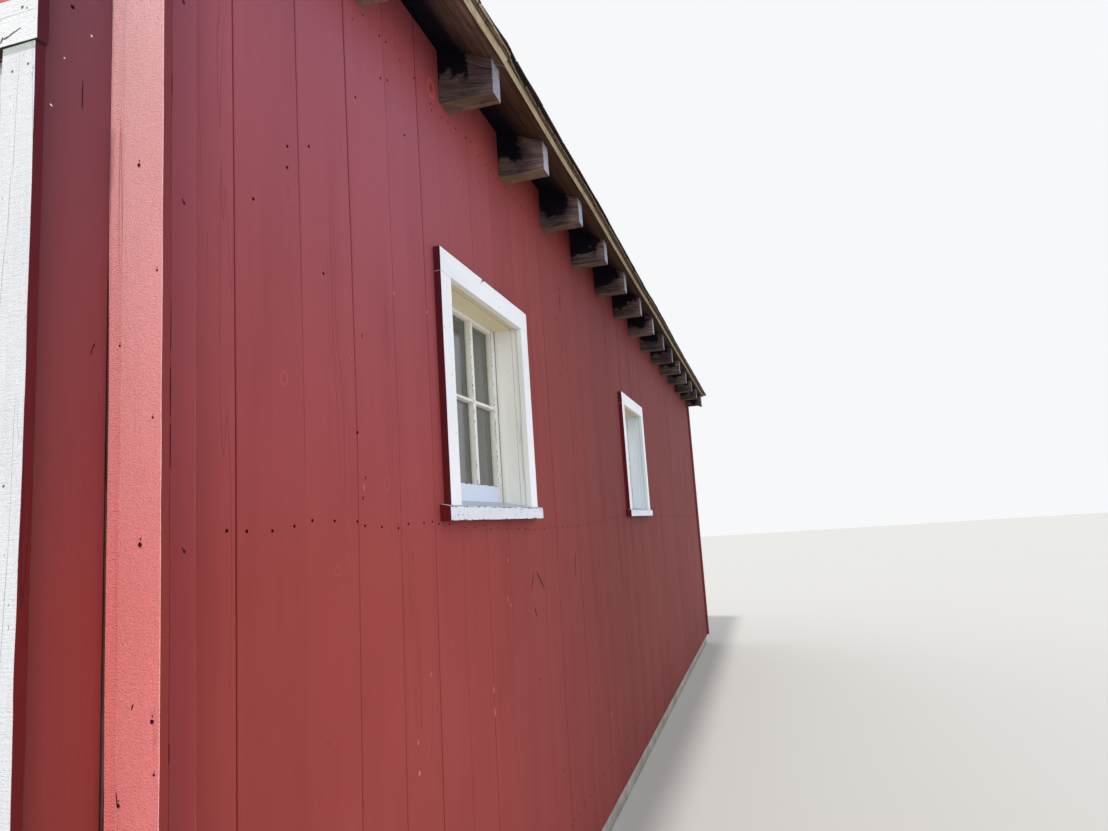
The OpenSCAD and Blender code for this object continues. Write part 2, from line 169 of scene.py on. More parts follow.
class Graph(Tree):
    """The nodes of one material, whose grain runs along an axis or as its mesh says."""

    def __init__(self, name, axis=None):
        SKINS[name] = material = bpy.data.materials.new(name)
        material.use_nodes = True
        super().__init__(material.node_tree)
        self.world = self.add("TexCoord", {}, "Object")
        self.x, self.y, self.z = self.world.parts()
        if axis:
            order = {"X": (self.x, self.y, self.z), "Z": (self.z, self.x, self.y)}
            self.grain = self.vector(*order[axis])
        else:
            self.grain = self.add("Attribute", {}, "Vector", attribute_name="grain")
        self.tone = self.add("Attribute", {}, "Fac", attribute_name="tone")

    def vector(self, *parts):
        return self.add("CombineXYZ", dict(enumerate(parts)))

    def times(self, vector, scale):
        return self.add("VectorMath", {0: vector, 1: scale}, operation="MULTIPLY")

    def noise(self, vector, scale, detail=4.0, rough=0.55, warp=0.0):
        return self.add("TexNoise", {"Vector": vector, "Scale": scale, "Detail": detail, "Roughness": rough,
                                     "Distortion": warp})

    def streaks(self, along, across, detail=4.0, rough=0.55, warp=0.0):
        """Noise drawn out along the grain."""
        return self.noise(self.times(self.grain, (along, across, across)), 1.0, detail, rough, warp)

    def cells(self, vector, scale):
        """Distance to the nearest cell point, and three random numbers of the cell."""
        made = self.node("TexVoronoi", {"Vector": vector, "Scale": scale})
        return Value(self, made.outputs["Distance"]), Value(self, made.outputs["Color"]).parts()

    def mix(self, fac, a, b):
        return self.add("Mix", {0: fac, 6: colour(a), 7: colour(b)}, 2, data_type="RGBA")

    def shade(self, base, value):
        """The colour made lighter or darker by a factor."""
        return self.add("VectorMath", {0: colour(base), "Scale": value}, operation="SCALE")

    def near(self, y, z, wide, high):
        """Distance from a place on a side wall, in half widths and heights of an ellipse."""
        scale = (0.0, 1 / wide, 1 / high)
        inputs = {0: self.times(self.world, scale), 1: (0.0, y * scale[1], z * scale[2])}
        return self.add("VectorMath", inputs, "Value", operation="DISTANCE")

    def finish(self, base, rough, height=None, depth=0.0, gloss=0.3, **more):
        """Joins the look to the surface; depth is the height of the bumps in metres."""
        inputs = {"Base Color": colour(base), "Roughness": rough, "Specular IOR Level": gloss}
        inputs.update((key.replace("_", " "), value) for key, value in more.items())
        if height:
            inputs["Normal"] = self.add("Bump", {"Strength": 1.0, "Distance": depth, "Height": height})
        self.node("OutputMaterial", {"Surface": self.add("BsdfPrincipled", inputs)})


def colour(rgb):
    """Linear colour from 0 to 255 values; a node's output stays as it is."""
    if isinstance(rgb, Value):
        return rgb
    values = [c / 255 for c in rgb]
    linear = [v / 12.92 if v <= 0.04045 else ((v + 0.055) / 1.055) ** 2.4 for v in values]
    return (*linear, 1.0)


def thin_lines(g, along, across, width, sparse):
    """Thin cracks along the grain, in some places only."""
    away = abs(g.streaks(along, across, 1.5, 0.5, 0.3) - 0.5)
    return away.ramp(0.0, width, 1.0, 0.0) * g.streaks(0.8, 5.0, 2.0).ramp(sparse, sparse + 0.06)


def paint(name, base, deep, pale, axis=None, grain=0.08, saw=0.0, kerf=0.0, cracks=0.5, depth=0.0012,
          flakes=0.0, marks=None, high=None):
    """Old paint on wood: grain, checks, chips, darker damp patches and bleached ones.

    saw and kerf are how rough the wood under it is and how its saw lines show across the grain,
    flakes is how much paint has come off in small flecks, marks adds what only one place shows,
    high is a painted bluish sky light towards the top of a wall, mostly at the front, weaker as painted
    shade just under the eaves.
    """
    g = Graph(name, axis)
    fine = g.streaks(9.0, 230.0, 5.0, 0.6)
    streak = g.streaks(0.9, 34.0, 3.0)
    broad = g.noise(g.world, 0.8, 4.0, 0.6)
    patch = g.streaks(1.1, 7.0, 4.0, 0.55, 0.2)
    line = thin_lines(g, 0.9, 26.0, 0.005, 0.56)
    value = 1.0 + fine.swing(grain) + streak.swing(0.08) + broad.swing(0.12) + g.tone.swing(0.07)
    tint = g.mix(broad.ramp(0.35, 0.7), base, pale)
    # Painted sky light: the high colour towards the wall's top, with less of it in the eaves' painted shade
    if high:
        rise = g.z.ramp(1.5, 3.2) * g.z.ramp(2.85, 3.06, 1.0, 0.35)
        tint = g.mix(rise * g.y.ramp(-3.7, -2.6, 1.0, 0.25), tint, high)
    tint = g.mix(patch.ramp(0.50, 0.80) * 0.14, tint, deep)
    far, cell = g.cells(g.world, 11.0)
    chip = far.ramp(0.03, 0.06, 1.0, 0.0) * cell[0].ramp(0.93, 0.94)
    tint = g.mix(chip * 0.5, tint, pale)
    tint = g.mix(line * cracks, tint, deep)
    height = fine.swing(0.35) + streak.swing(0.3) + line * -0.8
    if flakes:
        tint, height = flaked(g, tint, height, flakes)
    if saw:
        fibre = g.streaks(95.0, 420.0, 3.0, 0.65)
        tooth = g.streaks(260.0, 120.0, 3.0, 0.6, 0.4)
        grit = g.streaks(330.0, 430.0, 2.0, 0.6)
        value = value + fibre.swing(0.30 * saw) + tooth.swing(0.06 * saw) + grit.swing(0.34 * saw)
        height = height + fibre.swing(1.3 * saw) + tooth.swing(0.3 * saw) + grit.swing(1.7 * saw)
    if kerf:
        ripple = g.streaks(520.0, 40.0, 2.0, 0.5)
        value += ripple.swing(0.14 * kerf)
        height += ripple.swing(0.9 * kerf)
    if marks:
        tint, height = marks(g, tint, height)
    g.finish(g.shade(tint, value), 0.68 + patch.swing(0.15) + fine.swing(0.1), height, depth, 0.12)


def flaked(g, tint, height, amount):
    """Small flecks where the paint has come off: grey wood in a shallow hollow."""
    where = g.streaks(2.2, 9.0, 3.0, 0.6).ramp(0.50, 0.68)
    edge = (0.735 - 0.06 * amount) - where * 0.055
    bare = (g.streaks(55.0, 150.0, 4.0, 0.7) - edge).ramp(0.0, 0.012)
    return g.mix(bare * 0.8, tint, (112, 98, 84)), height + bare * -0.7


# Knots of the right wall: place along it, height and size in millimetres, and strength
WALL_KNOTS = ((-3468, 3066, 40, 1.25), (-3060, 3045, 28, 0.8), (-3250, 2842, 24, 0.8),
              (-2897, 2829, 24, 0.45), (-3685, 2387, 22, 0.3), (-3297, 2890, 16, 0.9),
              (-4037, 2041, 15, 0.6), (-2180, 2620, 22, 0.3), (-1180, 2250, 24, 0.35), (-380, 1050, 26, 0.3),
              (690, 2760, 22, 0.35), (2350, 1320, 26, 0.3), (-4290, 2357, 34, 0.18), (-4316, 1932, 19, 0.48),
              (-4127, 1520, 15, 0.45), (-3876, 1727, 24, 0.35))


def wall_knots(g, tint, height):
    """Knots that show as orange rings; the wall darker near the front corner, and painted shade that darkens
    it towards the far end.
    """
    wobble = g.noise(g.world, 60.0, 2.0, 0.5).swing(0.25)
    rings, hearts = [], []
    for y, z, size, tone in WALL_KNOTS:
        away = g.near(y / 1000, z / 1000, 0.8 * size / 1000, 0.95 * size / 1000) + wobble
        rings.append(abs(away - 0.78).ramp(0.02, 0.26, 0.8 * tone, 0.0))
        hearts.append(away.ramp(0.20, 0.45, 0.5 * tone, 0.0))
    ring = sum(rings[1:], rings[0])
    tint = g.mix(ring * 0.8, tint, (194, 88, 76))
    tint = g.mix(sum(hearts[1:], hearts[0]), tint, (112, 42, 44))
    # Painted shade: a deeper, darker red further along the wall
    tint = g.mix(g.y.ramp(-3.2, -1.0, 0.0, 0.34), tint, (104, 32, 38))
    painted_far_shade = g.y.ramp(-3.7, -2.3, 1.0, 0.78) * g.y.ramp(-2.3, -1.0, 1.0, 0.86)
    return g.shade(tint, painted_far_shade * g.y.ramp(-4.595, -4.47, 0.78, 1.0)), height + ring * 0.4


def worn_arris(g, tint, height):
    """Pale edges of the front corner boards: paint worn bare at the arrises and a painted highlight where
    they catch the light.
    """
    hi = HW + CORNER_T
    lo = hi - CORNER_W
    out = abs(g.x) + g.noise(g.world, 90.0, 4.0, 0.7).swing(0.0036)
    # The pale rim is partly worn paint and partly a painted highlight
    rim = out.ramp(hi - 0.0022, hi - 0.0008) * 0.45 + out.ramp(lo + 0.0002, lo + 0.0016, 0.6, 0.0)
    return g.mix(rim, tint, (240, 205, 200)), height


def cheek_shade(g, tint, height):
    """Paint of the cheeks: painted shade beside the door casing, and painted light that makes them lighter
    towards the corner.
    """
    # Painted shade beside the casing, then painted light towards the return
    near = g.y.ramp(-FRONT_Y, -FRONT_Y + 0.030, 0.58, 0.87)
    return g.shade(tint, near * g.y.ramp(-FRONT_Y + 0.030, -HL, 1.0, 1.55)), height


def side_shade(g, tint, height):
    """Paint of the corner boards' sides: a painted highlight along their back edge, darker towards the front
    corner, and painted shade that dulls them towards the barn's far end.
    """
    back = -HL + CORNER_SIDE
    # Painted highlight of the lit back arris
    tint = g.mix(g.y.ramp(back - 0.0022, back - 0.0008, 0.0, 0.22), tint, (214, 140, 140))
    return g.shade(tint, g.y.ramp(-HL, back, 0.84, 1.04) * g.y.ramp(-2.0, 3.0, 1.0, 0.55)), height


def head_grime(g, tint, height):
    """Painted shadow of the head casing: a grey band on the side casings just below it."""
    level = g.z + g.noise(g.world, 90.0, 3.0, 0.6).swing(0.0020)
    # The grey band stands for the head casing's cast shadow
    return g.mix(level.ramp(DOOR_H - 0.0155, DOOR_H - 0.0140, 0.0, 0.75), tint, (150, 160, 152)), height


def dirty_joint(g, tint, height):
    """Dirt in the joint between a window's lining and its outer strip."""
    out = abs(g.x) + g.noise(g.world, 60.0, 4.0, 0.7).swing(0.003)
    line = abs(out - (HW - BOARD_T - 0.0008)).ramp(0.0006, 0.0020, 0.35, 0.0)
    return g.mix(line, tint, (134, 112, 84)), height + line * -0.4


def lining_dirt(g, tint, height):
    """The linings: dirt in their joints, and whiter and bluer in the farther windows."""
    return dirty_joint(g, g.mix(g.y.ramp(-2.0, 0.0, 0.0, 0.9), tint, (232, 243, 250)), height)


def growth_rings(g):
    """Wavy bands along a beam."""
    across = g.grain.parts()[2] + g.streaks(3.2, 5.0, 2.0, 0.5) * 0.16
    run = g.vector(g.grain.parts()[0] * 1.6, across * 135.0, g.tone)
    return g.noise(run, 1.0, 4.0, 0.62).ramp(0.34, 0.66, -1.0, 1.0)


def wall_stain(g, ragged, soft):
    """Near-black patch close to the wall and high up, on the tails and the roof boards: partly a damp stain
    and partly painted shade where the eave meets the wall.
    """
    wobble = g.noise(g.world, 7.0, 4.0, 0.6, 0.5)
    edge = HW + 0.118
    outward = abs(g.x) + wobble.swing(ragged) - g.y.ramp(-3.0, -1.6, 0.0, 0.05)
    level = g.z + wobble.swing(1.4 * ragged)
    return outward.ramp(edge - soft, edge, 1.0, 0.0) * level.ramp(WALL_H + 0.060, WALL_H + 0.078) * 0.97


def raw_wood(name, base, deep, pale, axis=None, rings=0.0, stain=None, depth=0.0015, contrast=1.0,
             top=None, far=None):
    """Bare old wood with checks and dark blots, with painted shade that darkens it towards the barn's far
    end.

    rings is how strong its growth rings show, contrast does the same for the fine grain, stain is how
    ragged and how soft the edge is of its near-black patch by the wall, partly a stain and partly painted
    shade, top is the colour of the upper end of a tail's cut and far the painted shade colour away from the
    barn's front.
    """
    g = Graph(name, axis)
    fine = g.streaks(12.0, 260.0, 5.0, 0.65)
    streak = g.streaks(1.6, 45.0, 4.0, 0.6)
    broad = g.noise(g.grain, 6.0, 4.0, 0.6, 0.5)
    value = 1.0 + fine.swing(0.55 * contrast) + streak.swing(0.5 * contrast) + g.tone.swing(0.25)
    tint = g.mix(broad.ramp(0.35, 0.68), base, pale)
    height = fine.swing(0.6) + streak.swing(0.5)
    if rings:
        band = growth_rings(g)
        value += band * rings
        height += band * 0.55
    line = thin_lines(g, 1.2, 40.0, 0.010, 0.47)
    tint = g.mix(line * 0.75, tint, deep)
    height += line * -1.0
    blot = g.noise(g.world, 7.0, 5.0, 0.65, 0.6).ramp(0.55, 0.72)
    tint = g.mix(blot * 0.55, tint, deep)
    # Painted shade: darker towards the barn's far end, and tinted there towards the far colour
    value = g.math("MAXIMUM", value, 0.35) * g.y.ramp(-3.4, -0.5, 1.0, 0.72)
    if far:
        tint = g.mix(g.y.ramp(-3.9, -3.1), tint, far)
    if top:
        tint = g.mix(g.z.ramp(WALL_H + 0.085, WALL_H + 0.165), tint, top)
    # Painted light and shade: lighter towards the eave's edge, and the near-black patch by the wall, partly
    # a stain and partly painted shade
    if stain:
        value *= abs(g.x).ramp(HW + 0.12, TAIL_X, 0.80, 1.5)
        tint = g.mix(wall_stain(g, *stain), tint, (5, 3, 28))
    g.finish(g.shade(tint, value), 0.8 + fine.swing(0.2), height, depth, 0.2)


def concrete(name):
    g = Graph(name, "X")
    coarse = g.noise(g.world, 5.0, 6.0, 0.65)
    sand = g.noise(g.world, 260.0, 4.0, 0.7)
    far, cell = g.cells(g.world, 60.0)
    pit = far.ramp(0.12, 0.2, 1.0, 0.0) * cell[0].ramp(0.75, 0.8)
    band = g.noise(g.times(g.world, (0.6, 0.6, 22.0)), 1.0, 3.0)
    value = 1.0 + coarse.swing(0.5) + sand.swing(0.25) + band.swing(0.2)
    tint = g.mix(coarse.ramp(0.4, 0.7), (150, 147, 140), (168, 166, 160))
    tint = g.mix(pit * 0.6, tint, (84, 80, 74))
    splash = (g.z + coarse.swing(0.12)).ramp(0.0, 0.07, 0.6, 0.0)
    tint = g.mix(splash, tint, (104, 94, 78))
    height = sand.swing(0.6) + coarse.swing(0.8) + pit * -1.0
    g.finish(g.shade(tint, value), 0.85 + sand.swing(0.2), height, 0.002, 0.25)


def asphalt(name, base):
    """Mineral granules on felt, with pale and dark grains and washed streaks."""
    g = Graph(name)
    far, cell = g.cells(g.grain, 420.0)
    wash = g.noise(g.times(g.world, (0.7, 5.0, 0.7)), 1.0, 4.0, 0.6)
    patch = g.noise(g.world, 2.0, 4.0, 0.6)
    value = 1.0 + cell[0].swing(0.9) + wash.swing(0.3) + patch.swing(0.25) + g.tone.swing(0.35)
    tint = g.mix(cell[1].ramp(0.86, 0.9), base, (128, 124, 118))
    height = far * -1.0 + patch.swing(0.4)
    g.finish(g.shade(tint, value), 0.9 + cell[0].swing(0.15), height, 0.0012, 0.25)


def iron(name, base, rust):
    g = Graph(name, "Z")
    patch = g.noise(g.world, 30.0, 5.0, 0.65)
    speck = g.noise(g.world, 400.0, 3.0, 0.7)
    tint = g.shade(g.mix(patch.ramp(0.45, 0.62), base, rust), 1.0 + speck.swing(0.4))
    g.finish(tint, 0.85 + patch.swing(0.2), speck.swing(1.0), 0.0006, 0.02)


def pane(name):
    """Old window glass, slightly wavy and dusty."""
    g = Graph(name, "Z")
    dust = g.noise(g.world, 30.0, 5.0, 0.7).ramp(0.4, 0.75, 0.10, 0.22)
    g.finish((62, 70, 68), dust, g.noise(g.world, 5.0, 2.0, 0.5, 0.4), 0.0012, 0.5, Transmission_Weight=0.55,
             IOR=1.5, Coat_Weight=0.6, Coat_Roughness=0.03)


# Mesh building

class Build:
    """Points and faces of one piece; tone and shift vary the wood from board to board."""

    def __init__(self, seed):
        self.rng = random.Random(seed)
        self.points, self.grains = [], []
        self.faces, self.slots, self.tones = [], [], []
        self.fresh()

    def fresh(self):
        """The next board: its own tone and its own stretch of grain."""
        self.tone = self.rng.random()
        self.shift = Vector([self.rng.uniform(-40, 40) for _ in range(3)])

    def point(self, co, grain):
        self.points.append(tuple(co))
        self.grains.append(tuple(Vector(grain) + self.shift))
        return len(self.points) - 1

    def face(self, ids, slot=0):
        self.faces.append(tuple(ids))
        self.slots.append(slot)
        self.tones.append(self.tone)

    def shell(self, rings, slot=0):
        """A closed shape over rings of points, from its back to its front."""
        for low, high in zip(rings, rings[1:]):
            for k in range(len(low)):
                n = (k + 1) % len(low)
                self.face((low[k], low[n], high[n], high[k]), slot)
        self.face(rings[-1], slot)
        self.face(rings[0][::-1], slot)


def piece(name, build, skins, slot, hides="", bevel=0.0):
    """One object from a build: skins names its materials, hides the nodes that it stands for."""
    mesh = bpy.data.meshes.new(name)
    mesh.from_pydata(build.points, [], build.faces)
    for skin in skins.split():
        mesh.materials.append(SKINS[skin])
    mesh.polygons.foreach_set("material_index", build.slots)
    grain = mesh.attributes.new("grain", "FLOAT_VECTOR", "POINT")
    grain.data.foreach_set("vector", [c for g in build.grains for c in g])
    tone = mesh.attributes.new("tone", "FLOAT", "FACE")
    tone.data.foreach_set("value", build.tones)
    work = bmesh.new()
    work.from_mesh(mesh)
    bmesh.ops.recalc_face_normals(work, faces=work.faces)
    work.to_mesh(mesh)
    work.free()
    made = bpy.data.objects.new(name, mesh)
    bpy.context.scene.collection.objects.link(made)
    if bevel:
        soften(made, bevel)
    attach(made, "root")
    if hides:
        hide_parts(*hides.split())


def soften(made, width):
    edge = made.modifiers.new("worn_edges", "BEVEL")
    edge.width = width
    edge.segments = 2
    edge.limit_method = "ANGLE"
    edge.angle_limit = math.radians(50)
    edge.use_clamp_overlap = True


def dress(node, skin, bevel=0.0):
    """A node of the frame that stays, with its material and worn edges."""
    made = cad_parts[node]
    made.data.materials.clear()
    made.data.materials.append(SKINS[skin])
    if bevel:
        weld = made.modifiers.new("joined", "WELD")
        weld.merge_threshold = 0.00005
        flat = made.modifiers.new("flat_faces", "DECIMATE")
        flat.decimate_type = "DISSOLVE"
        flat.angle_limit = math.radians(1)
        soften(made, bevel)


def spaced(lo, hi, size):
    """Values from lo to hi, about size apart."""
    count = max(1, round((hi - lo) / size))
    return [lo + (hi - lo) * k / count for k in range(count + 1)]


def share(value, start, length, least=0.0):
    """How far a value has come along a length, from least to 1."""
    return min(1.0, max(least, (value - start) / length))


def steady(value):
    """A height or place that is the same all along."""
    return lambda at: value


def block(build, along, across, deep, place, slots=(0,) * 6, rough=0.0, scale=9.0):
    """Closed piece of wood: a grid on each side. place turns (along, across, deep) into a point.

    slots are the materials of the ends, the sides and the back and front, low then high.
    """
    sizes = (len(along), len(across), len(deep))
    seed = build.shift * 0.37
    made = {}

    def at(*index):
        if index not in made:
            co = Vector((along[index[0]], across[index[1]], deep[index[2]]))
            grain = co.copy()
            if rough:
                wave = noise.noise_vector(Vector((co.x * scale * 0.4, co.y * scale, co.z * scale)) + seed)
                bite = noise.noise_vector(co * scale * 5 + seed)
                co += Vector((wave.x * 0.4, wave.y, wave.z)) * rough + bite * rough * 0.5
            made[index] = build.point(place(*co), grain)
        return made[index]

    for axis in range(3):
        u, v = [k for k in range(3) if k != axis]
        for high in (0, 1):
            fixed = high * (sizes[axis] - 1)
            for i in range(sizes[u] - 1):
                for j in range(sizes[v] - 1):
                    corners = []
                    for du, dv in ((0, 0), (1, 0), (1, 1), (0, 1)):
                        index = [0, 0, 0]
                        index[axis], index[u], index[v] = fixed, i + du, j + dv
                        corners.append(at(*index))
                    build.face(corners, slots[2 * axis + high])


def plank(build, *grid, **look):
    """A block with its own tone and stretch of grain."""
    build.fresh()
    block(build, *grid, **look)


NAIL_R, NAIL_PROUD, NAIL_IN = 0.0036, 0.0016, 0.0020
NAIL_SIDES, FLECK_SIDES = 6, 10
FLECK_UP, FLECK_IN = 0.0003, 0.0008


def nail(build, place, u, v, w, radius=NAIL_R):
    """Nail head: a low six-sided button on the surface at w."""
    build.fresh()
    turns = [k * 2 * math.pi / NAIL_SIDES for k in range(NAIL_SIDES)]
    rings = []
    for r, up in ((radius, -NAIL_IN), (radius, NAIL_PROUD * 0.6), (radius * 0.6, NAIL_PROUD)):
        around = [place(u + r * math.cos(a), v + r * math.sin(a), w + up) for a in turns]
        rings.append([build.point(co, (u, v, up)) for co in around])
    build.shell(rings)


def fleck(build, place, u, v, w, high, wide, turn=0.0, slot=0):
    """Thin ragged patch on a surface: a chip, a scratch or torn paint."""
    build.fresh()
    rings = []
    for up in (-FLECK_IN, FLECK_UP):
        ring = []
        for k in range(FLECK_SIDES):
            a = k * 2 * math.pi / FLECK_SIDES
            x, y = math.cos(a), math.sin(a)
            rag = 1 + 0.35 * noise.noise(Vector((u * 900 + x * 1.3, v * 900 + y * 1.3, 2.0)))
            p, q = wide / 2 * x * rag, high / 2 * y * rag
            x, y = p * math.cos(turn) - q * math.sin(turn), p * math.sin(turn) + q * math.cos(turn)
            ring.append(build.point(place(u + x, v + y, w + up), (v + y, u + x, up)))
        rings.append(ring)
    build.shell(rings, slot)


def clear(cuts, u, v, by=0.016):
    """Whether a place on a wall lies outside its cuts."""
    return not any(u0 - by < u < u1 + by and v0 - by < v < v1 + by for u0, u1, v0, v1 in cuts)


# Vertical wall boards

GROOVE = 0.008
FACE_IN = 0.00005
# Height at which a board's width is taken, and how near its end and edges its grid has no more points
NOMINAL, END_CLEAR, EDGE_CLEAR = 2.3, 0.012, 0.006


def board_rows(foot, low, cuts):
    """Heights of a board's grid; None stands for its upper end."""
    heights = set(spaced(foot, low - END_CLEAR, 0.16)[:-1])
    for _, _, v0, v1 in cuts:
        heights |= {v for v in (v0, v1) if foot < v < low - END_CLEAR}
    heights = sorted(heights)
    return [v for k, v in enumerate(heights) if k == 0 or v - heights[k - 1] > 0.002] + [None]


def board_columns(a, b, ridge, cuts, sides):
    """Columns of a board's grid: side, distance from that edge or share of the width, depth."""
    inner = {0.28, 0.5, 0.72}
    for u0, u1, _, _ in cuts:
        inner |= {(u - a) / (b - a) for u in (u0, u1) if a + EDGE_CLEAR < u < b - EDGE_CLEAR}
    if ridge:
        inner.add(-a / (b - a))
    return ([("L", d, w) for d, w in sides[0]] + [("M", f, 0.0) for f in sorted(inner)]
            + [("R", d, w) for d, w in reversed(sides[1])])


def board_cell(build, front, back, i, j, kept, outer):
    """Front and back of one cell of a board's grid, and its sides beside an opening or an edge."""
    p, q = i + 1, j + 1
    build.face((front[i][j], front[p][j], front[p][q], front[i][q]))
    build.face((back[i][j], back[i][q], back[p][q], back[p][j]))
    for (a, b), (c, d), beside in (((i, j), (i, q), (i - 1, j)), ((p, j), (p, q), (p, j)),
                                   ((i, j), (p, j), (i, j - 1)), ((i, q), (p, q), (i, q))):
        if not kept(*beside):
            skin = outer[0] if beside[0] < 0 else outer[1] if beside[0] > len(front) - 2 else 0
            build.face((front[a][b], front[c][d], back[c][d], back[a][b]), skin)


def board(build, place, left, right, foot, top, cuts, thick, opened=None, outer=(0, 0)):
    """One board. left and right give its edges at a height, top its upper end, cuts its openings.

    opened gives how far the joints stand open at a height, outer the materials of its two edges.
    Returns a function from a place across the board (0 to 1) and a height to a point of its face.
    """
    rng = build.rng
    build.fresh()
    a, b = left(NOMINAL), right(NOMINAL)
    width = b - a
    gap = rng.uniform(0.0008, 0.0013)
    grooved = [(0.0, -GROOVE), (gap, -GROOVE), (gap + 0.0003, -0.0014), (gap + 0.0022, 0.0)]
    sides = [[(0.0, 0.0)] if skin else grooved for skin in outer]
    low = min(top(a), top(b))
    columns = board_columns(a, b, a < 0 < b and top(0) > low + 0.001, cuts, sides)
    heights = board_rows(foot, low, cuts)
    back_off = rng.uniform(0.0, 0.0012)
    cup = rng.uniform(-0.0003, 0.0009)
    twist = rng.uniform(-0.0006, 0.0006)
    seed = Vector([rng.uniform(-99, 99) for _ in range(3)])

    def depth(s, v, w=0.0):
        swell = noise.noise(Vector((v * 1.7, (a + width * s) * 2.3, 5.0)) + seed) * 0.0005
        warp = -back_off - cup * (1 - 4 * (s - 0.5) ** 2) + twist * (s - 0.5) * math.sin(v) + swell
        return min(w + warp, -FACE_IN)

    def wander(side, v):
        """How crooked or open a joint is."""
        crook = 1 + 0.6 * noise.noise(Vector((v * 1.9, a * 7, 0)) + seed)
        if outer[side]:
            return 1
        return opened[side](v) * (0.85 + 0.15 * crook) if opened else crook

    def across(kind, d, v):
        """Place along the wall, and the same if the board were straight."""
        if kind == "L":
            return left(v) + d * wander(0, v), a + d
        if kind == "R":
            return right(v) - d * wander(1, v), b - d
        return left(v) + (right(v) - left(v)) * d, a + width * d

    front, back, spots = [], [], []
    for kind, d, w in columns:
        near, far, marks = [], [], []
        for v in heights:
            u, straight = across(kind, d, low if v is None else v)
            height = top(straight) if v is None else v
            out = depth((straight - a) / width, height, w)
            near.append(build.point(place(u, height, out), (height, straight, 0.0)))
            far.append(build.point(place(u, height, -thick), (height, straight, -thick)))
            marks.append((straight, height))
        front.append(near)
        back.append(far)
        spots.append(marks)

    def kept(i, j):
        if not (0 <= i < len(columns) - 1 and 0 <= j < len(heights) - 1):
            return False
        u = (spots[i][j][0] + spots[i + 1][j][0]) / 2
        return clear(cuts, u, (spots[i][j][1] + spots[i][j + 1][1]) / 2, 0.0)

    for i in range(len(columns) - 1):
        for j in range(len(heights) - 1):
            if kept(i, j):
                board_cell(build, front, back, i, j, kept, outer)
    return lambda s, v: (left(v) + (right(v) - left(v)) * s, v, depth(s, v))


def clear_of(cuts, joint):
    """Moves a joint that would fall on the edge of a cut."""
    for u0, u1, _, _ in cuts:
        for u in (u0, u1):
            if abs(joint - u) < 0.009:
                joint += 0.014 if joint >= u else -0.014
    return joint


def lean(joint, v):
    """How far a joint has drifted towards the front at a height, growing below the middle of the wall."""
    near, gone = share(joint, -4.56, 0.4), share(HL - joint, 0.0, 3.0)
    return near * gone * (0.030 * max(0.0, 1.8 - v) + 0.012 * max(0.0, v - 2.3))


def boards(build, place, joints, foot, top, cuts, thick, leaning=False, opened=None, outer=(0, 0)):
    """A run of boards between joints; returns each board's edges and its face."""
    joints = [joints[0]] + [clear_of(cuts, j) for j in joints[1:-1]] + [joints[-1]]
    last = len(joints) - 1

    def edge(k):
        if leaning and 0 < k < last:
            return lambda v: joints[k] - lean(joints[k], v)
        return steady(joints[k])

    faces = []
    for k in range(last):
        skins = (outer[0] if k == 0 else 0, outer[1] if k == last - 1 else 0)
        pair = opened and (opened(k), opened(k + 1))
        spot = board(build, place, edge(k), edge(k + 1), foot, top, cuts, thick, pair, skins)
        faces.append((edge(k), edge(k + 1), spot))
    return faces


def side_face(sign):
    """Turns a place along a side, a height and a distance outward into a point."""
    return lambda u, v, w: (sign * (HW + w), u, v)


def front_face(out):
    """The same for what faces the front, out before the barn's middle."""
    return lambda u, v, w: (u, -out - w, v)


def back_side(u, v, w):
    return (u, HL + w, v)


def gable_top(x):
    return under_z(x) - ROOF_GAP


def rake_foot(x):
    """Top of what stops under a rake board."""
    return under_z(x) - (RAKE_H - ROOF_T) / COS - SCRIBE


RIDGE_SLOT = (-RIDGE_T / 2 - SCRIBE, RIDGE_T / 2 + SCRIBE, under_z(RIDGE_T / 2) - RIDGE_H - SCRIBE, ABOVE)
SEEN_JOINTS = [-4.470, -4.246, -4.022, -3.801, -3.581, -3.369, -3.148, -2.920, -2.690, -2.475, -2.255,
               -2.040, -1.830, -1.610, -1.395, -1.170, -0.945, -0.730, -0.515, -0.295]
# How open the first joints stand at the wall's top, middle and foot
SEEN_OPEN = [(1.6, 1.5, 1.4), (1.9, 0.25, 0.25), (1.8, 0.4, 0.7), (0.4, 0.5, 1.3), (1.9, 0.8, 1.6),
             (0.3, 0.3, 0.9), (0.5, 0.4, 1.4), (0.5, 0.4, 0.12), (0.4, 0.3, 0.12), (0.4, 0.2, 0.12),
             (0.3, 0.3, 0.4)]
MOST_JOINTS = 80


def side_opened(rng):
    """For each joint of a side wall, a function from height to how far it stands open."""
    spread = [(1.0, 1.0, 1.0)] + SEEN_OPEN
    while len(spread) < MOST_JOINTS:
        spread.append([rng.choice((0.10, 0.14, 0.20, 0.32)) for _ in range(3)])

    def opened(k):
        high, middle, low = spread[k]

        def at(v):
            s = share(v, 0.6, 2.3)
            return low + (middle - low) * 2 * s if s < 0.5 else middle + (high - middle) * (2 * s - 1)
        return at
    return opened


def side_cuts():
    half = WIN_W / 2 + JAMB_T + 0.006
    cuts = [(y - half, y + half, SILL_Z, HEAD_Z + JAMB_T + SCRIBE) for y in WINDOW_YS]
    half = BEAM_T / 2 + SCRIBE
    return cuts + [(y - half, y + half, WALL_H, ABOVE) for y in BEAM_YS]


# Heights of the girts and plates that the boards are nailed to, and places across a board
SIDE_ROWS = (0.33, 3.030)
GIRT_Z = 1.622
GABLE_ROWS = (0.33, 0.95, 1.627, 3.000, 3.700)
NAILS_ACROSS = (0.12, 0.49, 0.87)
# The row over the girt hangs below its ends by this much, from a place along the wall for a length
SAG, SAG_FROM, SAG_RUN = 0.041, -3.75, 2.70
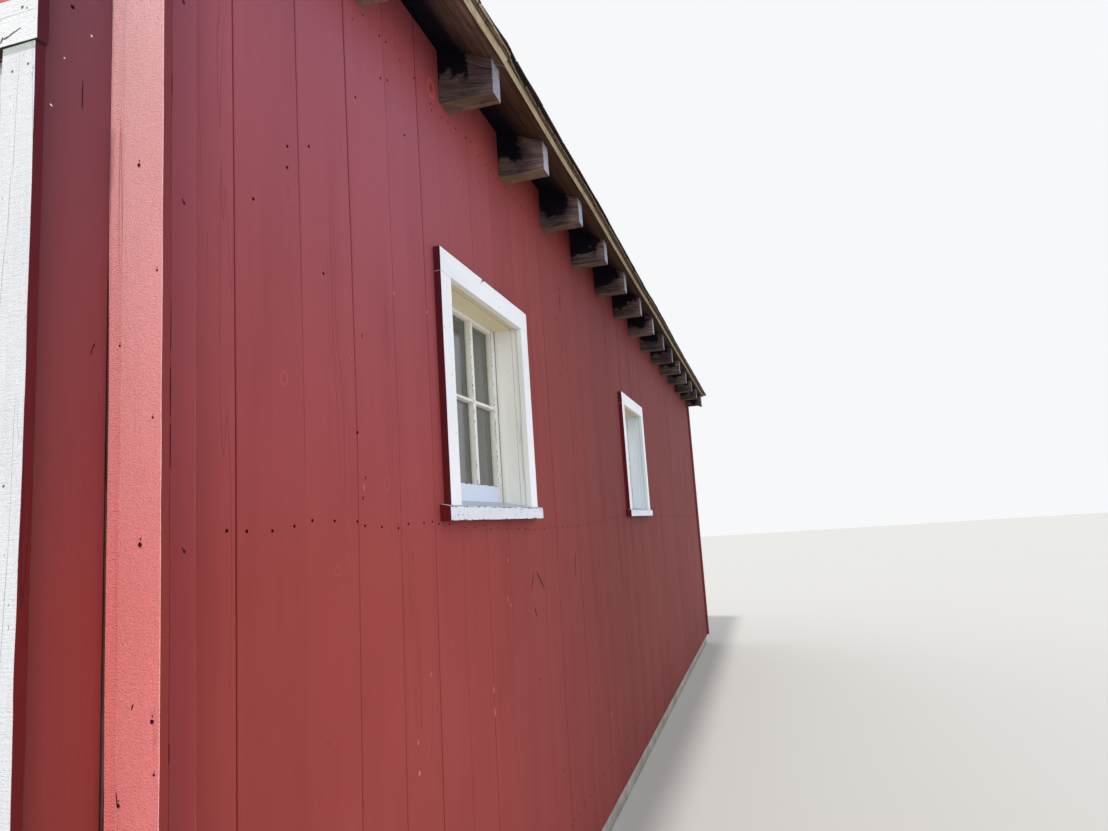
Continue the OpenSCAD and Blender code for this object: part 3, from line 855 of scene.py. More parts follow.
# Single nails and specks near the front end of the right wall: place along it and height in millimetres
STRAYS = ((-3791, 2910), (-3832, 2892), (-3980, 2752), (-3689, 2788), (-4205, 2504), (-4412, 2290),
          (-4291, 2463), (-4293, 2412), (-4155, 2210), (-4022, 1846), (-3473, 2985), (-2653, 1260),
          (-2653, 990))
# The nails of two rows there one by one, and the stretches of wall that they take
NEAR_NAILS = ((-4499, 1618), (-4443, 1616), (-4364, 1615), (-4290, 1623), (-4223, 1634), (-4134, 1632),
              (-4034, 1630), (-3999, 1619), (-3914, 1615), (-3823, 1610), (-3763, 1621), (-3665, 1622),
              (-3602, 3026), (-3479, 3005), (-3390, 3004), (-3333, 3015), (-3264, 3026), (-3167, 3037),
              (-3116, 3048))
NEAR_ROWS = [(-9.0, -3.645, 1.55, 1.70), (-3.610, -3.095, 2.95, 3.10)]
# Where the right wall has no scattered chips
NEAR_WALL = [(-9.0, -4.20, 0.0, 9.0)]


def girt_sag(y):
    s = (y - SAG_FROM) / SAG_RUN
    return SAG * math.sin(math.pi * s) if 0 < s < 1 else 0.0


def nail_rows(build, place, faces, rows, top, cuts, sag=steady(0.0)):
    """Nails over the framing, a few to each board."""
    rng = build.rng
    for left, right, spot in faces:
        narrow = right(NOMINAL) - left(NOMINAL) < 0.1
        for row in rows:
            for s in NAILS_ACROSS[1:2] if narrow else NAILS_ACROSS:
                hung = row - sag(left(row))
                u, v, w = spot(s + rng.uniform(-0.035, 0.035), hung + rng.uniform(-0.004, 0.004))
                if clear(cuts, u, v) and v < top(u) - 0.02:
                    nail(build, place, u, v, w, rng.uniform(0.0024, 0.0036))


def on_face(faces, u, v):
    """The point of a run of boards at a place along it and a height."""
    for left, right, spot in faces:
        if left(v) <= u < right(v):
            return spot((u - left(v)) / (right(v) - left(v)), v)
    raise ValueError("off the wall")


def scattered_flecks(build, place, faces, count, cuts):
    """Small chips and scratches here and there on a wall, most of them upright."""
    rng = build.rng
    for _ in range(count):
        u, v, w = rng.choice(faces)[2](rng.uniform(0.08, 0.92), rng.uniform(0.3, 3.0))
        size = rng.uniform(0.005, 0.016)
        if clear(cuts, u, v):
            wide, turn = size * rng.uniform(0.2, 0.5), rng.uniform(-0.4, 0.4)
            fleck(build, place, u, v, w, size, wide, turn, rng.randrange(2))


def lay_marks(build, place, marks, at):
    """Flecks from a table of place, height, size high and wide in millimetres, turn and chip kind."""
    for u, v, high, wide, turn, slot in marks:
        fleck(build, place, *at(u / 1000, v / 1000), high / 1000, wide / 1000, turn, slot)


# Trim, windows, beams, roof and doors

ALL_CUT = (1,) * 6


def corner_boards(build, end):
    """Front- and side-facing corner boards at one end of the building: end is -1 front, 1 back."""
    outer = HW + CORNER_T
    inner = outer - CORNER_W
    slope_top = gable_top if end < 0 else rake_foot
    head = slope_top(inner)

    def rise(a, x):
        return BOARD_Z + (a - BOARD_Z) * (slope_top(x) - BOARD_Z) / (head - BOARD_Z)

    for sign in (1, -1):
        plank(build, spaced(BOARD_Z, head, 0.045), spaced(inner, outer, 0.014),
              [0, 0.004, CORNER_T - 0.003, CORNER_T], lambda a, b, c: (sign * b, end * (HL + c), rise(a, b)),
              slots=(2, 2, 2, 2, 2, 0), rough=0.0007, scale=26.0)
        plank(build, spaced(BOARD_Z, WALL_H - SCRIBE, 0.045), spaced(0.0005, CORNER_SIDE, 0.014),
              [0, CORNER_T / 2, CORNER_T], lambda a, b, c: (sign * (HW + c), end * (HL - b), a),
              slots=ALL_CUT, rough=0.0006, scale=26.0)


def sill_top(c):
    """Height of a window sill's top at a distance outside the boards' face."""
    if c < -SASH_IN:
        return SASH_Z
    return SILL_Z + SILL_T + (SILL_OVER - c) / (SILL_OVER + SASH_IN) * SILL_SLOPE


def both_windows(sign):
    """For each window of a side: functions for upright and for level pieces."""
    for y in WINDOW_YS:
        yield (lambda a, b, c: (sign * (HW + c), y + b, a)), (lambda a, b, c: (sign * (HW + c), y + a, b))


def casings(build, sign):
    look = {"rough": 0.0005, "scale": 20.0}
    for upright, flat in both_windows(sign):
        for s in (-1, 1):
            plank(build, [SILL_Z] + spaced(SILL_Z + 0.06, HEAD_Z - 0.0004, 0.06),
                  [s * (HALF + k * CASING_W / 4) for k in range(5)], [0, 0.012, CASING_T],
                  lambda a, b, c: upright(max(a, sill_top(c) + 0.0003), b, c),
                  slots=(0, 0, 2, 1, 1, 0), **look)
        reach = HALF + CASING_W
        plank(build, spaced(-reach, reach, 0.06), spaced(HEAD_Z + 0.0004, HEAD_Z + CASING_W, 0.02),
              [0, 0.012, CASING_T + 0.0004], flat, slots=(1, 1, 2, 1, 1, 0), **look)


def sills(build, sign):
    for _, flat in both_windows(sign):
        reach, inner = HALF + CASING_W + SILL_HORN, HALF + JAMB_T
        rise = spaced(SILL_Z, SILL_Z + SILL_T, 0.011)

        def seat(a, b, c):
            return flat(a, SILL_Z + (b - SILL_Z) * (sill_top(c) - SILL_Z) / SILL_T, c)

        plank(build, spaced(-reach, reach, 0.012), rise,
              [0.0004, 0.010, 0.021, SILL_OVER - 0.003, SILL_OVER], seat,
              slots=(1, 1, 1, 2, 1, 0), rough=0.0011, scale=34.0)
        block(build, spaced(-inner, inner, 0.03), rise,
              [FRAME_IN - HW, -SASH_IN - SASH_T, -SASH_IN, -0.07, -0.045, -0.022, -0.0004],
              seat, slots=(1, 1, 1, 2, 1, 1), rough=0.0006, scale=30.0)


def jambs(build, sign):
    stop = -SASH_IN - SASH_T
    # Depth from, depth to and how far the face stands into the opening
    layers = ((FRAME_IN - HW, stop - 0.0005, 0.010), (stop, -BOARD_T - 0.0002, 0.0),
              (-BOARD_T + 0.0002, -0.0010, -0.0034))
    for upright, flat in both_windows(sign):
        for c0, c1, into in layers:
            deep = spaced(c0, c1, 0.02)
            for s in (-1, 1):
                plank(build, [SILL_Z] + spaced(SASH_Z + 0.02, HEAD_Z + JAMB_T, 0.06),
                      [s * (HALF - into), s * (HALF + 0.010), s * (HALF + JAMB_T)], deep,
                      lambda a, b, c: upright(max(a, sill_top(c) + 0.0002), b, c), rough=0.0004, scale=16.0)
            side = HALF - into - 0.0004
            plank(build, spaced(-side, side, 0.06), [HEAD_Z - into, HEAD_Z + 0.010, HEAD_Z + JAMB_T], deep,
                  flat, slots=ALL_CUT, rough=0.0004, scale=16.0)


# The sash as seen: rails, the thin level bar, the wide upright bars and the gap beside the far stile
RAIL_SEEN, BAR_H, BAR_W = 0.066, 0.011, 0.025
BAR_SHIFT = (0.0, -0.0125)
STILE_GAP = 0.008


def sash_lines():
    """Edges of the lights across the sash, its upright bars, and the heights of its two rows of lights."""
    first = -HALF + STILE
    bars = []
    for i in (0, 1):
        middle = first + LIGHT_W + MUNTIN / 2 + i * (LIGHT_W + MUNTIN) + BAR_SHIFT[i]
        bars.append((middle - BAR_W / 2, middle + BAR_W / 2))
    far = HALF - STILE - 0.006
    lights = list(zip([first] + [b for _, b in bars], [a for a, _ in bars] + [far]))
    middle = SASH_Z + RAIL + LIGHT_H + MUNTIN / 2
    heights = [(SASH_Z + RAIL_SEEN, middle - BAR_H / 2), (middle + BAR_H / 2, HEAD_Z - TOP_RAIL + 0.003)]
    return lights, bars, heights


def sashes(build, sign):
    front = -SASH_IN
    deep = [-SASH_IN - SASH_T, -SASH_IN - GLASS_IN, front - 0.004, front]
    foot, head = SASH_Z + 0.0006, HEAD_Z - 0.002
    lights, bars, heights = sash_lines()
    first, last = lights[0][0], lights[-1][1]
    low, high = heights[0][0], heights[1][1]

    def wood(place, along, across, face=3):
        plank(build, along, across, deep, place, slots=(0, 0, 0, 0, 0, face), rough=0.0006, scale=26.0)

    for upright, flat in both_windows(sign):
        for y0, y1 in ((-HALF + 0.002, first), (last, HALF - STILE_GAP)):
            wood(upright, spaced(foot, head, 0.05), spaced(y0, y1, 0.014))
        for y0, y1 in bars:
            wood(upright, spaced(low, high, 0.05), spaced(y0, y1, 0.0125))
        for z0, z1, face in ((foot, low, 1), (high, head, 3)):
            wood(flat, spaced(first + 0.0003, last - 0.0003, 0.05), spaced(z0, z1, 0.02), face)
        for y0, y1 in lights:
            wood(flat, spaced(y0 + 0.0003, y1 - 0.0003, 0.04), [heights[0][1], heights[1][0]])
        # A dark strip in the gap beside the far stile: painted shade
        plank(build, spaced(foot, head, 0.012), [HALF - STILE_GAP + 0.0003, HALF - 0.0003],
              [front - 0.030, front - 0.0004], upright, slots=(2,) * 6, rough=0.0012, scale=40.0)


def putty(build, sign):
    """Putty round each light: crumbling wedges against the glass."""
    seat = -SASH_IN - GLASS_IN

    def wedge(run, start, turn):
        def shape(a, b, c):
            slim = 1 - 0.75 * c
            ragged = 0.0024 + 0.0014 * noise.noise(Vector((a * 60, start * 90, 3.0)))
            rise = 0.006 + 0.0016 * noise.noise(Vector((a * 45, 7.0, start)))
            return run(a, start + turn * b * ragged * slim, seat + c * rise)
        return shape

    lights, _, heights = sash_lines()
    for upright, flat in both_windows(sign):
        for y0, y1 in lights:
            for z0, z1 in heights:
                inner = (y0 + 0.003, y1 - 0.003)
                for start, turn, run, (lo, hi) in ((y0, 1, upright, (z0, z1)), (y1, -1, upright, (z0, z1)),
                                                   (z0, 1, flat, inner), (z1, -1, flat, inner)):
                    along = spaced(lo + 0.0005, hi - 0.0005, 0.008)
                    plank(build, along, [0, 1], [0, 1], wedge(run, start, turn))


def worn_line(build, place, fixed, lo, hi, w, upright, cover=0.5, wide=0.0032):
    """Bare flecks along an edge: upright at a place across, or level at a height."""
    rng = build.rng
    at = lo
    while at < hi:
        size = rng.uniform(0.004, 0.020)
        if rng.random() < cover:
            off = fixed + rng.uniform(-0.0006, 0.0006)
            thin = wide * rng.uniform(0.5, 1.2)
            if upright:
                fleck(build, place, off, at + size / 2, w, size, thin)
            else:
                fleck(build, place, at + size / 2, off, w, thin, size)
        at += size + rng.uniform(0.0, 0.008)


def trim_wear(build, sign):
    """Flecks on the arrises of sash, sill and casings of a side's windows."""
    lights, bars, (lower, upper) = sash_lines()
    rng = build.rng
    first, last = lights[0][0], lights[-1][1]
    reach = HALF + CASING_W + SILL_HORN - 0.004
    for y in WINDOW_YS:
        def place(u, v, w):
            return (sign * (HW + w), y + u, v)
        for y0, cover in zip([y0 for y0, _ in bars] + [last], (0.5, 0.6, 0.75)):
            worn_line(build, place, y0 + 0.0014, lower[0], upper[1], -SASH_IN, True, cover)
        worn_line(build, place, last + 0.020, lower[0] - 0.03, lower[0] + 0.05, -SASH_IN, True, 0.7)
        worn_line(build, place, lower[0] - 0.0010, first, last, -SASH_IN, False, 0.65)
        worn_line(build, place, lower[1] + 0.0015, first, last, -SASH_IN, False, 0.4, 0.002)
        worn_line(build, place, SILL_Z + 0.0020, -reach, reach, SILL_OVER, False, 0.35, 0.0030)
        worn_line(build, place, SILL_Z + SILL_T - 0.0020, -reach, reach, SILL_OVER, False, 0.70, 0.0040)
        for _ in range(70):
            size = rng.uniform(0.0016, 0.0050)
            u, v = rng.uniform(-reach, reach), rng.uniform(SILL_Z + 0.004, SILL_Z + SILL_T - 0.004)
            wide = size * rng.uniform(0.6, 1.6)
            fleck(build, place, u, v, SILL_OVER, size, wide, 0.0, rng.choice((0, 1, 1)))
        for _ in range(60):
            size = rng.uniform(0.0016, 0.0042)
            side = rng.choice((-1, 1, 1, 0, 0))
            if side:
                u, v = side * (HALF + rng.uniform(0.006, CASING_W - 0.006)), rng.uniform(SASH_Z, HEAD_Z)
            else:
                u, v = rng.uniform(-HALF, HALF), HEAD_Z + rng.uniform(0.006, CASING_W - 0.006)
            wide = size * rng.uniform(0.6, 2.0)
            fleck(build, place, u, v, CASING_T, size, wide, 0.0, rng.choice((0, 1, 1)))


def beams(build):
    """Tie beams, dense and weathered at their tails, which are cut to the roof."""
    dense = spaced(HW - 0.06, TAIL_X, 0.012)
    along = [-x for x in reversed(dense)] + dense

    def rise(a, b, c):
        return (a, b, WALL_H + c * min(BEAM_H, under_z(a) - WALL_H) / BEAM_H)

    for y in BEAM_YS:
        plank(build, along, spaced(y - BEAM_T / 2, y + BEAM_T / 2, 0.0127), spaced(0, BEAM_H, 0.02), rise,
              slots=(1, 1, 0, 0, 2, 0), rough=0.0013, scale=14.0)


# The eave: its first joint, and how far outside the wall its edge lies at places along it
EAVE_JOINT = -3.350
EAVE_WAVE = ((-5.2, 0.218), (-3.71, 0.2207), (-3.351, 0.2295), (-3.349, 0.2240), (-2.70, 0.2232),
             (-2.05, 0.2295), (-1.40, 0.2255), (-0.55, 0.2225), (0.10, 0.2280), (0.90, 0.2232),
             (1.50, 0.2200), (5.2, 0.2240))
# The first eave board is thicker, and the old shingles on it lie thicker too, up to a distance up the slope
NEAR_BOARD, NEAR_PILE = 0.0050, 0.0045
NEAR_RUN = 0.38
# The widest that shingles and felt reach past the eave
WOOD_OUT, FELT_OUT, TAB_OUT = -0.0185, -0.0275, -0.0278


def eave_place(y, sign):
    """The place on the right eave whose shape an eave takes: the left one runs the other way."""
    return y if sign > 0 else -0.8 * y


def eave_step(y, sign):
    """How far up the slope the lowest roof board's edge lies from the frame's."""
    at = eave_place(y, sign)
    for (y0, v0), (y1, v1) in zip(EAVE_WAVE, EAVE_WAVE[1:]):
        if y0 <= at <= y1:
            s = (at - y0) / (y1 - y0)
            s = s * s * (3 - 2 * s)
            return max(0.0, (EAVE_X - HW - (v0 + (v1 - v0) * s)) / COS)
    raise ValueError("off the eave")


def raised(y, up, lift, sign):
    """Height of a shingle layer over the first eave board."""
    along = 1 - share(y - EAVE_JOINT, -0.02, 0.14)
    if sign < 0 or not along:
        return lift
    taper = max(0.0, 1 - max(0.0, up) / NEAR_RUN)
    return lift + along * taper * (NEAR_BOARD + NEAR_PILE * min(1.0, (lift - ROOF_T) / WOOD_T))


def on_roof(sign):
    """Turns (y, distance up the slope, height over the roof boards' underside) into a point."""
    foot = under_z(EAVE_X)
    return lambda y, t, lift: (sign * (EAVE_X - t * COS + lift * SIN), y, foot + t * SIN + lift * COS)


def sheathing(build, sign):
    place = on_roof(sign)
    rows = [0.0] + spaced(0.212, (EAVE_X - RIDGE_T / 2) / COS, 0.190)
    for k, (t0, t1) in enumerate(zip(rows, rows[1:])):
        joints = [BEAM_YS[(4 + 5 * k) % 7 + 1], BEAM_YS[(3 * k) % 5 + 9]]
        if k == 0:
            joints = [EAVE_JOINT, BEAM_YS[8], BEAM_YS[12]]
        ends = [ROOF_FRONT] + sorted(joints) + [ROOF_BACK]
        apart = 0.0012 if k else 0.0024
        for y0, y1 in zip(ends, ends[1:]):
            build.fresh()
            shift = 0.0 if k else build.rng.uniform(-0.003, 0.003)
            drop = build.rng.uniform(0.0, 0.0010)

            def shape(a, b, c):
                if k == 0:
                    edge = eave_step(a, sign) + shift
                    b = edge + (b - t0) * (t1 - edge) / (t1 - t0)
                    if sign > 0 and y1 <= EAVE_JOINT and c > 0.9 * ROOF_T:
                        c += NEAR_BOARD * (1 - max(0.0, b) / t1)
                return place(a, b, c + (drop if c < 0.01 else 0.0))

            block(build, spaced(y0 + apart, y1 - apart, 0.12), spaced(t0, t1 - 0.0025, 0.06),
                  [0, ROOF_T / 2, ROOF_T], shape, slots=(1, 1, 0 if k else 1, 0, 0, 0),
                  rough=0.0007, scale=12.0)


def wood_shingles(build, sign):
    """Old shingles: two ragged starter courses, courses along the rakes, a plain field within."""
    place = on_roof(sign)
    past = RAKE_T + DRIP - 0.001
    front, back = ROOF_FRONT - past, ROOF_BACK + past
    rng = build.rng
    for layer, (low, high, push) in enumerate(((0.0, 0.0068, -0.009), (0.0070, 0.0136, -0.021))):
        y = front
        while y < back - 0.02:
            width = min(rng.uniform(0.075, 0.21), back - y)
            build.fresh()
            out = push * share(eave_place(y, sign), -3.60, 1.1, 0.35) + rng.uniform(-0.003, 0.004)
            tilt = rng.uniform(-0.004, 0.004)
            butt = rng.uniform(0.75, 1.0)
            rag = rng.uniform(-99, 99)

            def shape(a, b, c):
                if b < 0.01:
                    ragged = tilt * (a - y) / width + 0.0016 * noise.noise(Vector((a * 80, rag, 0)))
                    b = max(WOOD_OUT, eave_step(a, sign) + out + ragged)
                return place(a, b, raised(a, b, ROOF_T + low + (high - low) * c * butt, sign))

            end = max(y + 0.02, y + width - rng.uniform(0.002, 0.006))
            # The upper course's butts take the paler wood: a painted highlight
            block(build, spaced(y, min(end, back), 0.02), [0.0, 0.05, NEAR_RUN], [0, 0.5, 1], shape,
                  slots=(0, 0, layer, 0, 0, 0))
            y += width
    top = EAVE_X / COS - 0.006
    for end, turn in ((front, 1), (back, -1)):
        for t in spaced(0.385, top - 0.13, 0.127):
            build.fresh()
            out = rng.uniform(0.0, 0.005)
            block(build, spaced(*sorted((end + turn * out, end + turn * 0.25)), 0.1), [t, t + 0.126], [0, 1],
                  lambda a, b, c: place(a, b, ROOF_T + c * (0.0135 if b < t + 0.06 else 0.007)))
    plank(build, spaced(front + 0.251, back - 0.251, 0.6), spaced(0.385, top, 0.6), [0.0, 0.0125],
          lambda a, b, c: place(a, b, ROOF_T + c))


def asphalt_courses(build, sign):
    """Three-tab courses on a felt layer."""
    place = on_roof(sign)
    rng = build.rng
    base = ROOF_T + WOOD_T
    past = RAKE_T + 2 * DRIP - 0.001
    front, back = ROOF_FRONT - past, ROOF_BACK + past
    top = EAVE_X / COS - 0.006
    drop = 0.028

    def edge(a):
        """The felt's edge reaches little past the eave's near its front end."""
        reach = drop * share(eave_place(a, sign), -3.68, 0.55, 0.25)
        return max(FELT_OUT, eave_step(a, sign) - reach + 0.0025 * noise.noise(Vector((a * 9, 4.0, sign))))

    def felt(a, b, c):
        return place(a, edge(a) if b < 0.001 else b, raised(a, b, base + c, sign))

    plank(build, spaced(front, back, 0.05), [0.0, 0.2, NEAR_RUN] + spaced(0.8, top, 0.8), [0.0, 0.0022],
          felt, slots=(3, 3, 3, 3, 3, 0))
    exposure, tab, gap = 0.127, 0.305, 0.008
    for k in range(int(top / exposure)):
        t = k * exposure
        y = front - (tab / 2 if k % 2 else 0.0)
        while y < back:
            y0, y1 = max(y + gap / 2, front), min(y + tab - gap / 2, back)
            y += tab
            if y1 - y0 <= 0.012:
                continue
            build.fresh()
            curl = rng.uniform(0.0, 0.0009)
            cut = rng.uniform(-0.0012, 0.0012)

            def shape(a, b, c):
                if b < t + 0.001:
                    b = max((t if k else edge(a)) + cut, TAB_OUT)
                    lift = 0.0056 + curl if c else 0.0024
                elif b < t + exposure:
                    lift = 0.0051 if c else 0.0024
                else:
                    lift = 0.0036 if c else 0.0023
                return place(a, b, raised(a, b, base + lift, sign))

            skin = rng.randrange(3)
            block(build, spaced(y0, y1, 0.11), [t, t + 0.1, min(t + exposure + 0.03, top)], [0, 1], shape,
                  slots=(3, 3, 3, skin, 3, skin))


def ridge_caps(build):
    peak = under_z(0) + (ROOF_T + WOOD_T + SHINGLE_T) / COS
    half, exposure, length = 0.158, 0.127, 0.20
    run = cap_hi.y - cap_lo.y - length
    count = int(run / exposure)
    for k in range(count + 1):
        y0 = cap_lo.y + k * run / count
        build.fresh()
        skin = build.rng.randrange(3)

        def shape(a, b, c):
            front = 1 - (a - y0) / length
            round_off = 0.004 * max(0.0, 1 - abs(b) / 0.03)
            lift_up = 0.0005 + 0.0035 * front + c * 0.0034
            return (b * COS, a, peak - abs(b) * SIN - round_off + lift_up)

        across = [-half, -0.09, -0.03, -0.012, 0, 0.012, 0.03, 0.09, half]
        block(build, spaced(y0, y0 + length, 0.1), across, [0, 1], shape, slots=(3, 3, 3, 3, 3, skin))


# Doors

DOOR_IN, DOOR_OUT = 0.225, FRONT_X - 0.060
LEAF_Y, LEAF_T, LEAF_GAP = FRONT_Y - 0.020, 0.040, 0.005
LEAF_Z, LEAF_TOP = 0.120 + 0.012, DOOR_H - LEAF_GAP
BRACE_W, BRACE_T = 0.100, 0.018
HEAD_W, SIDE_W = 0.082, 0.060
HEAD_T, SIDE_T = 0.0215, 0.019
CHEEK_T = 0.020
CASING_LAP = 0.009
BRACED = {"rough": 0.0006, "scale": 20.0}

# Marks on the front end: place, height, size high and wide in millimetres, turn and chip kind
RIGHT_MARKS = ((-3999, 1713, 20, 4, 0.3, 0), (-3660, 1204, 16, 4, -0.2, 0), (-2982, 1338, 20, 6, 0.2, 0),
               (-3172, 1060, 24, 6, 0.0, 0), (-3172, 990, 34, 5, 0.1, 0), (-1901, 2745, 110, 14, -0.1, 1),
               (-3755, 973, 12, 12, 0.0, 0), (-3797, 2262, 10, 8, 0.0, 0), (-3582, 2262, 10, 7, 0.0, 0),
               (-2667, 1377, 73, 9, -0.6, 1), (-2546, 1364, 159, 10, 0.9, 1), (-277, 2900, 240, 5, 0.0, 1),
               (-2646, 1251, 53, 9, 0.6, 1), (-1953, 1396, 133, 12, -0.4, 1), (-1894, 2819, 26, 12, -0.2, 1),
               (-1990, 2639, 22, 14, 0.0, 1), (-2000, 2341, 14, 18, 0.0, 1), (-1848, 2516, 12, 12, 0.0, 1),
               (-1422, 2877, 16, 14, 0.0, 1), (-2951, 1314, 16, 7, 0.1, 0), (-292, 2650, 260, 5, 0.0, 1),
               (-4005, 1686, 12, 5, -0.5, 1), (-3990, 1736, 10, 4, -0.4, 1))
CHEEK_MARKS = ((4720, 2375, 60, 2.2, 0.0, 1), (4779, 2323, 3, 5, 0.4, 2), (4688, 1936, 14, 2.2, 0.5, 1),
               (4692, 1926, 10, 2.0, 0.1, 1), (4704, 2494, 4, 5, 0.3, 2), (4757, 2420, 3, 3, 0.0, 2))
CORNER_CRACKS = ((3017.5, 1352, 10, 1.6, -0.4, 1), (3053, 1346, 14, 1.2, 0.2, 0),
                 (3057.5, 1345, 12, 1.0, -0.3, 0), (3058.5, 1306, 36, 1.0, 0.0, 0),
                 (3062.5, 1312, 24, 1.0, 0.0, 0), (2990, 1214, 22, 1.6, 0.1, 1),
                 (2987.5, 1232, 22, 1.0, 0.1, 0), (2992.5, 1185, 30, 1.0, 0.0, 0))
HEAD_CRACK = ((2871, 2433, 12, 3.0, -0.5, 4), (2880, 2435, 10, 3.0, -1.3, 4),
              (2890, 2438.5, 16, 1.4, -1.1, 4), (2902, 2443, 18, 0.9, -1.2, 4))
CASING_BLOT = ((-3140, 2486, 12, 7, 0.3, 4), (-3130, 2492, 6, 24, 0.1, 4), (-3152, 2478, 10, 3, 0.2, 4))
# Nail holes: place, height and size
CORNER_NAILS = ((3019, 2248, 8), (2984, 1933, 5), (3029, 1601, 10), (3055, 1330, 9), (3059, 1252, 5),
                (3058, 2054, 5), (2993, 1206, 8), (3012, 860, 9), (3040, 520, 8), (3052, 1805, 5))
CASING_NAILS = ((2893, 2374, 5), (2925, 2380, 5), (2912, 2482, 6), (2922, 2478, 3), (2905, 1700, 5))
SIDE_BOARD_NAILS = ((-4628, 1586, 7), (-4632, 2575, 8), (-4630, 2190, 7), (-4630, 840, 7))
# The flecks of a hole: shift along and up, size high and wide in shares of its size, turn and chip kind
TORN = ((0.0, 0.0, 0.80, 0.75, 0.5, 1), (0.1, 0.9, 0.5, 0.16, -0.5, 1), (0.35, -0.45, 0.30, 0.22, 0.4, 0))
SPLIT = ((0.0, 0.0, 1.0, 0.5, -0.5, 4), (-0.3, 0.1, 0.5, 0.35, 0.5, 3))
PULLED = ((0.0, 0.0, 0.9, 0.7, 0.4, 1), (-0.5, 0.6, 0.7, 0.25, 0.5, 1))


def nail_holes(build, place, w, holes, shape):
    """Holes of nails with paint torn off beside them."""
    for u, v, size in holes:
        marks = [(u + size * du, v + size * dv, size * high, size * wide, turn, slot)
                 for du, dv, high, wide, turn, slot in shape]
        lay_marks(build, place, marks, lambda u, v: (u, v, w))


def cheek_side(sign):
    return lambda u, v, w: (sign * (FRONT_X + w), -u, v)


def casing_side(u, v, w):
    return (u, -FRONT_Y - (SIDE_T if v < DOOR_H else HEAD_T) - w, v)


def cheek(build, sign):
    """The cheek board, and the stud's edge that shows in the joint between it and the return."""
    back_edge, front_edge = steady(HL + 0.0010), steady(FRONT_Y - 0.0002)
    top = steady(gable_top(FRONT_X))
    spot = board(build, cheek_side(sign), back_edge, front_edge, BOARD_Z, top, [], CHEEK_T, None, (1, 2))
    plank(build, spaced(BOARD_Z, SIDE_TOP, 0.05), [FRONT_X - 0.010, FRONT_X - 0.003, FRONT_X + 0.0055],
          [-0.0045, -0.0018], lambda a, b, c: (sign * b, -HL - c, a), slots=(3,) * 6,
          rough=0.001, scale=30.0)
    return [(back_edge, front_edge, spot)]


def return_edge(v):
    """Edge of a return board beside the cheek, crooked and further out towards its foot."""
    return FRONT_X + (0.0040 - 0.0062 * share(v, 1.90, 0.28)) + 0.0040 * share(1.42 - v, 0.0, 0.25)


def corner_joint(build):
    """The joint between the two boards of a front corner, open in short stretches above the girt."""
    rng = build.rng
    at = BOARD_Z
    while at < WALL_H - 0.1:
        size = rng.uniform(0.02, 0.10)
        if rng.random() < (0.8 if 1.66 < at < 1.95 else 0.15):
            wide = rng.uniform(0.0012, 0.0020)
            fleck(build, side_face(1), -HL + 0.0003, at + size / 2, CORNER_T, size, wide, 0.0, 1)
        at += size + rng.uniform(0.002, 0.03)


def leaf_spans():
    mid = (DOOR_IN + DOOR_OUT) / 2
    right = [(DOOR_IN + LEAF_GAP, mid - LEAF_GAP / 2), (mid + LEAF_GAP / 2, DOOR_OUT - LEAF_GAP)]
    return [(-b, -a) for a, b in reversed(right)] + right


def door_trim(build):
    """Rough casings, the head one standing proud of the side ones, which bow out a little."""
    def bowed(a, c):
        return -FRONT_Y - c * (1 + 0.15 * math.exp(-((a - 1.45) / 0.22) ** 2))

    for sign in (1, -1):
        for x0, x1 in ((DOOR_IN - SIDE_W, DOOR_IN), (DOOR_OUT - CASING_LAP, FRONT_X)):
            plank(build, spaced(BOARD_Z, DOOR_H - 0.0006, 0.03), spaced(x0, x1, 0.010),
                  [0.0006, SIDE_T / 2, SIDE_T], lambda a, b, c: (sign * b, bowed(a, c), a),
                  slots=(1, 1, 1, 1, 1, 0), rough=0.0009, scale=24.0)
        # The head casing's underside takes the near-black material: painted shade
        plank(build, spaced(DOOR_IN - SIDE_W, FRONT_X + 0.005, 0.03),
              spaced(DOOR_H + 0.0006, DOOR_H + HEAD_W, 0.0117),
              [0, HEAD_T / 2, HEAD_T], lambda a, b, c: (sign * a, -FRONT_Y - c, b),
              slots=(1, 1, 3, 1, 1, 2), rough=0.0006, scale=24.0)


def door_boards(build):
    for x0, x1 in leaf_spans():
        boards(build, front_face(LEAF_Y), spaced(x0, x1, 0.165), LEAF_Z, steady(LEAF_TOP), [], LEAF_T)


def door_bracing(build):
    """Frame boards and one diagonal on each leaf."""
    deep = [0.0002, BRACE_T / 2, BRACE_T]
    for k, (x0, x1) in enumerate(leaf_spans()):
        for b0 in (x0, x1 - BRACE_W):
            plank(build, spaced(LEAF_Z, LEAF_TOP, 0.06), spaced(b0, b0 + BRACE_W, 0.025), deep,
                  lambda a, b, c: (b, -LEAF_Y - c, a), **BRACED)
        for z0 in (LEAF_Z, LEAF_TOP - BRACE_W):
            plank(build, spaced(x0 + BRACE_W + 0.0008, x1 - BRACE_W - 0.0008, 0.06),
                  spaced(z0, z0 + BRACE_W, 0.025), deep, lambda a, b, c: (a, -LEAF_Y - c, b), **BRACED)
        diagonal(build, x0 + BRACE_W, x1 - x0 - 2 * BRACE_W, k % 2 == 0)


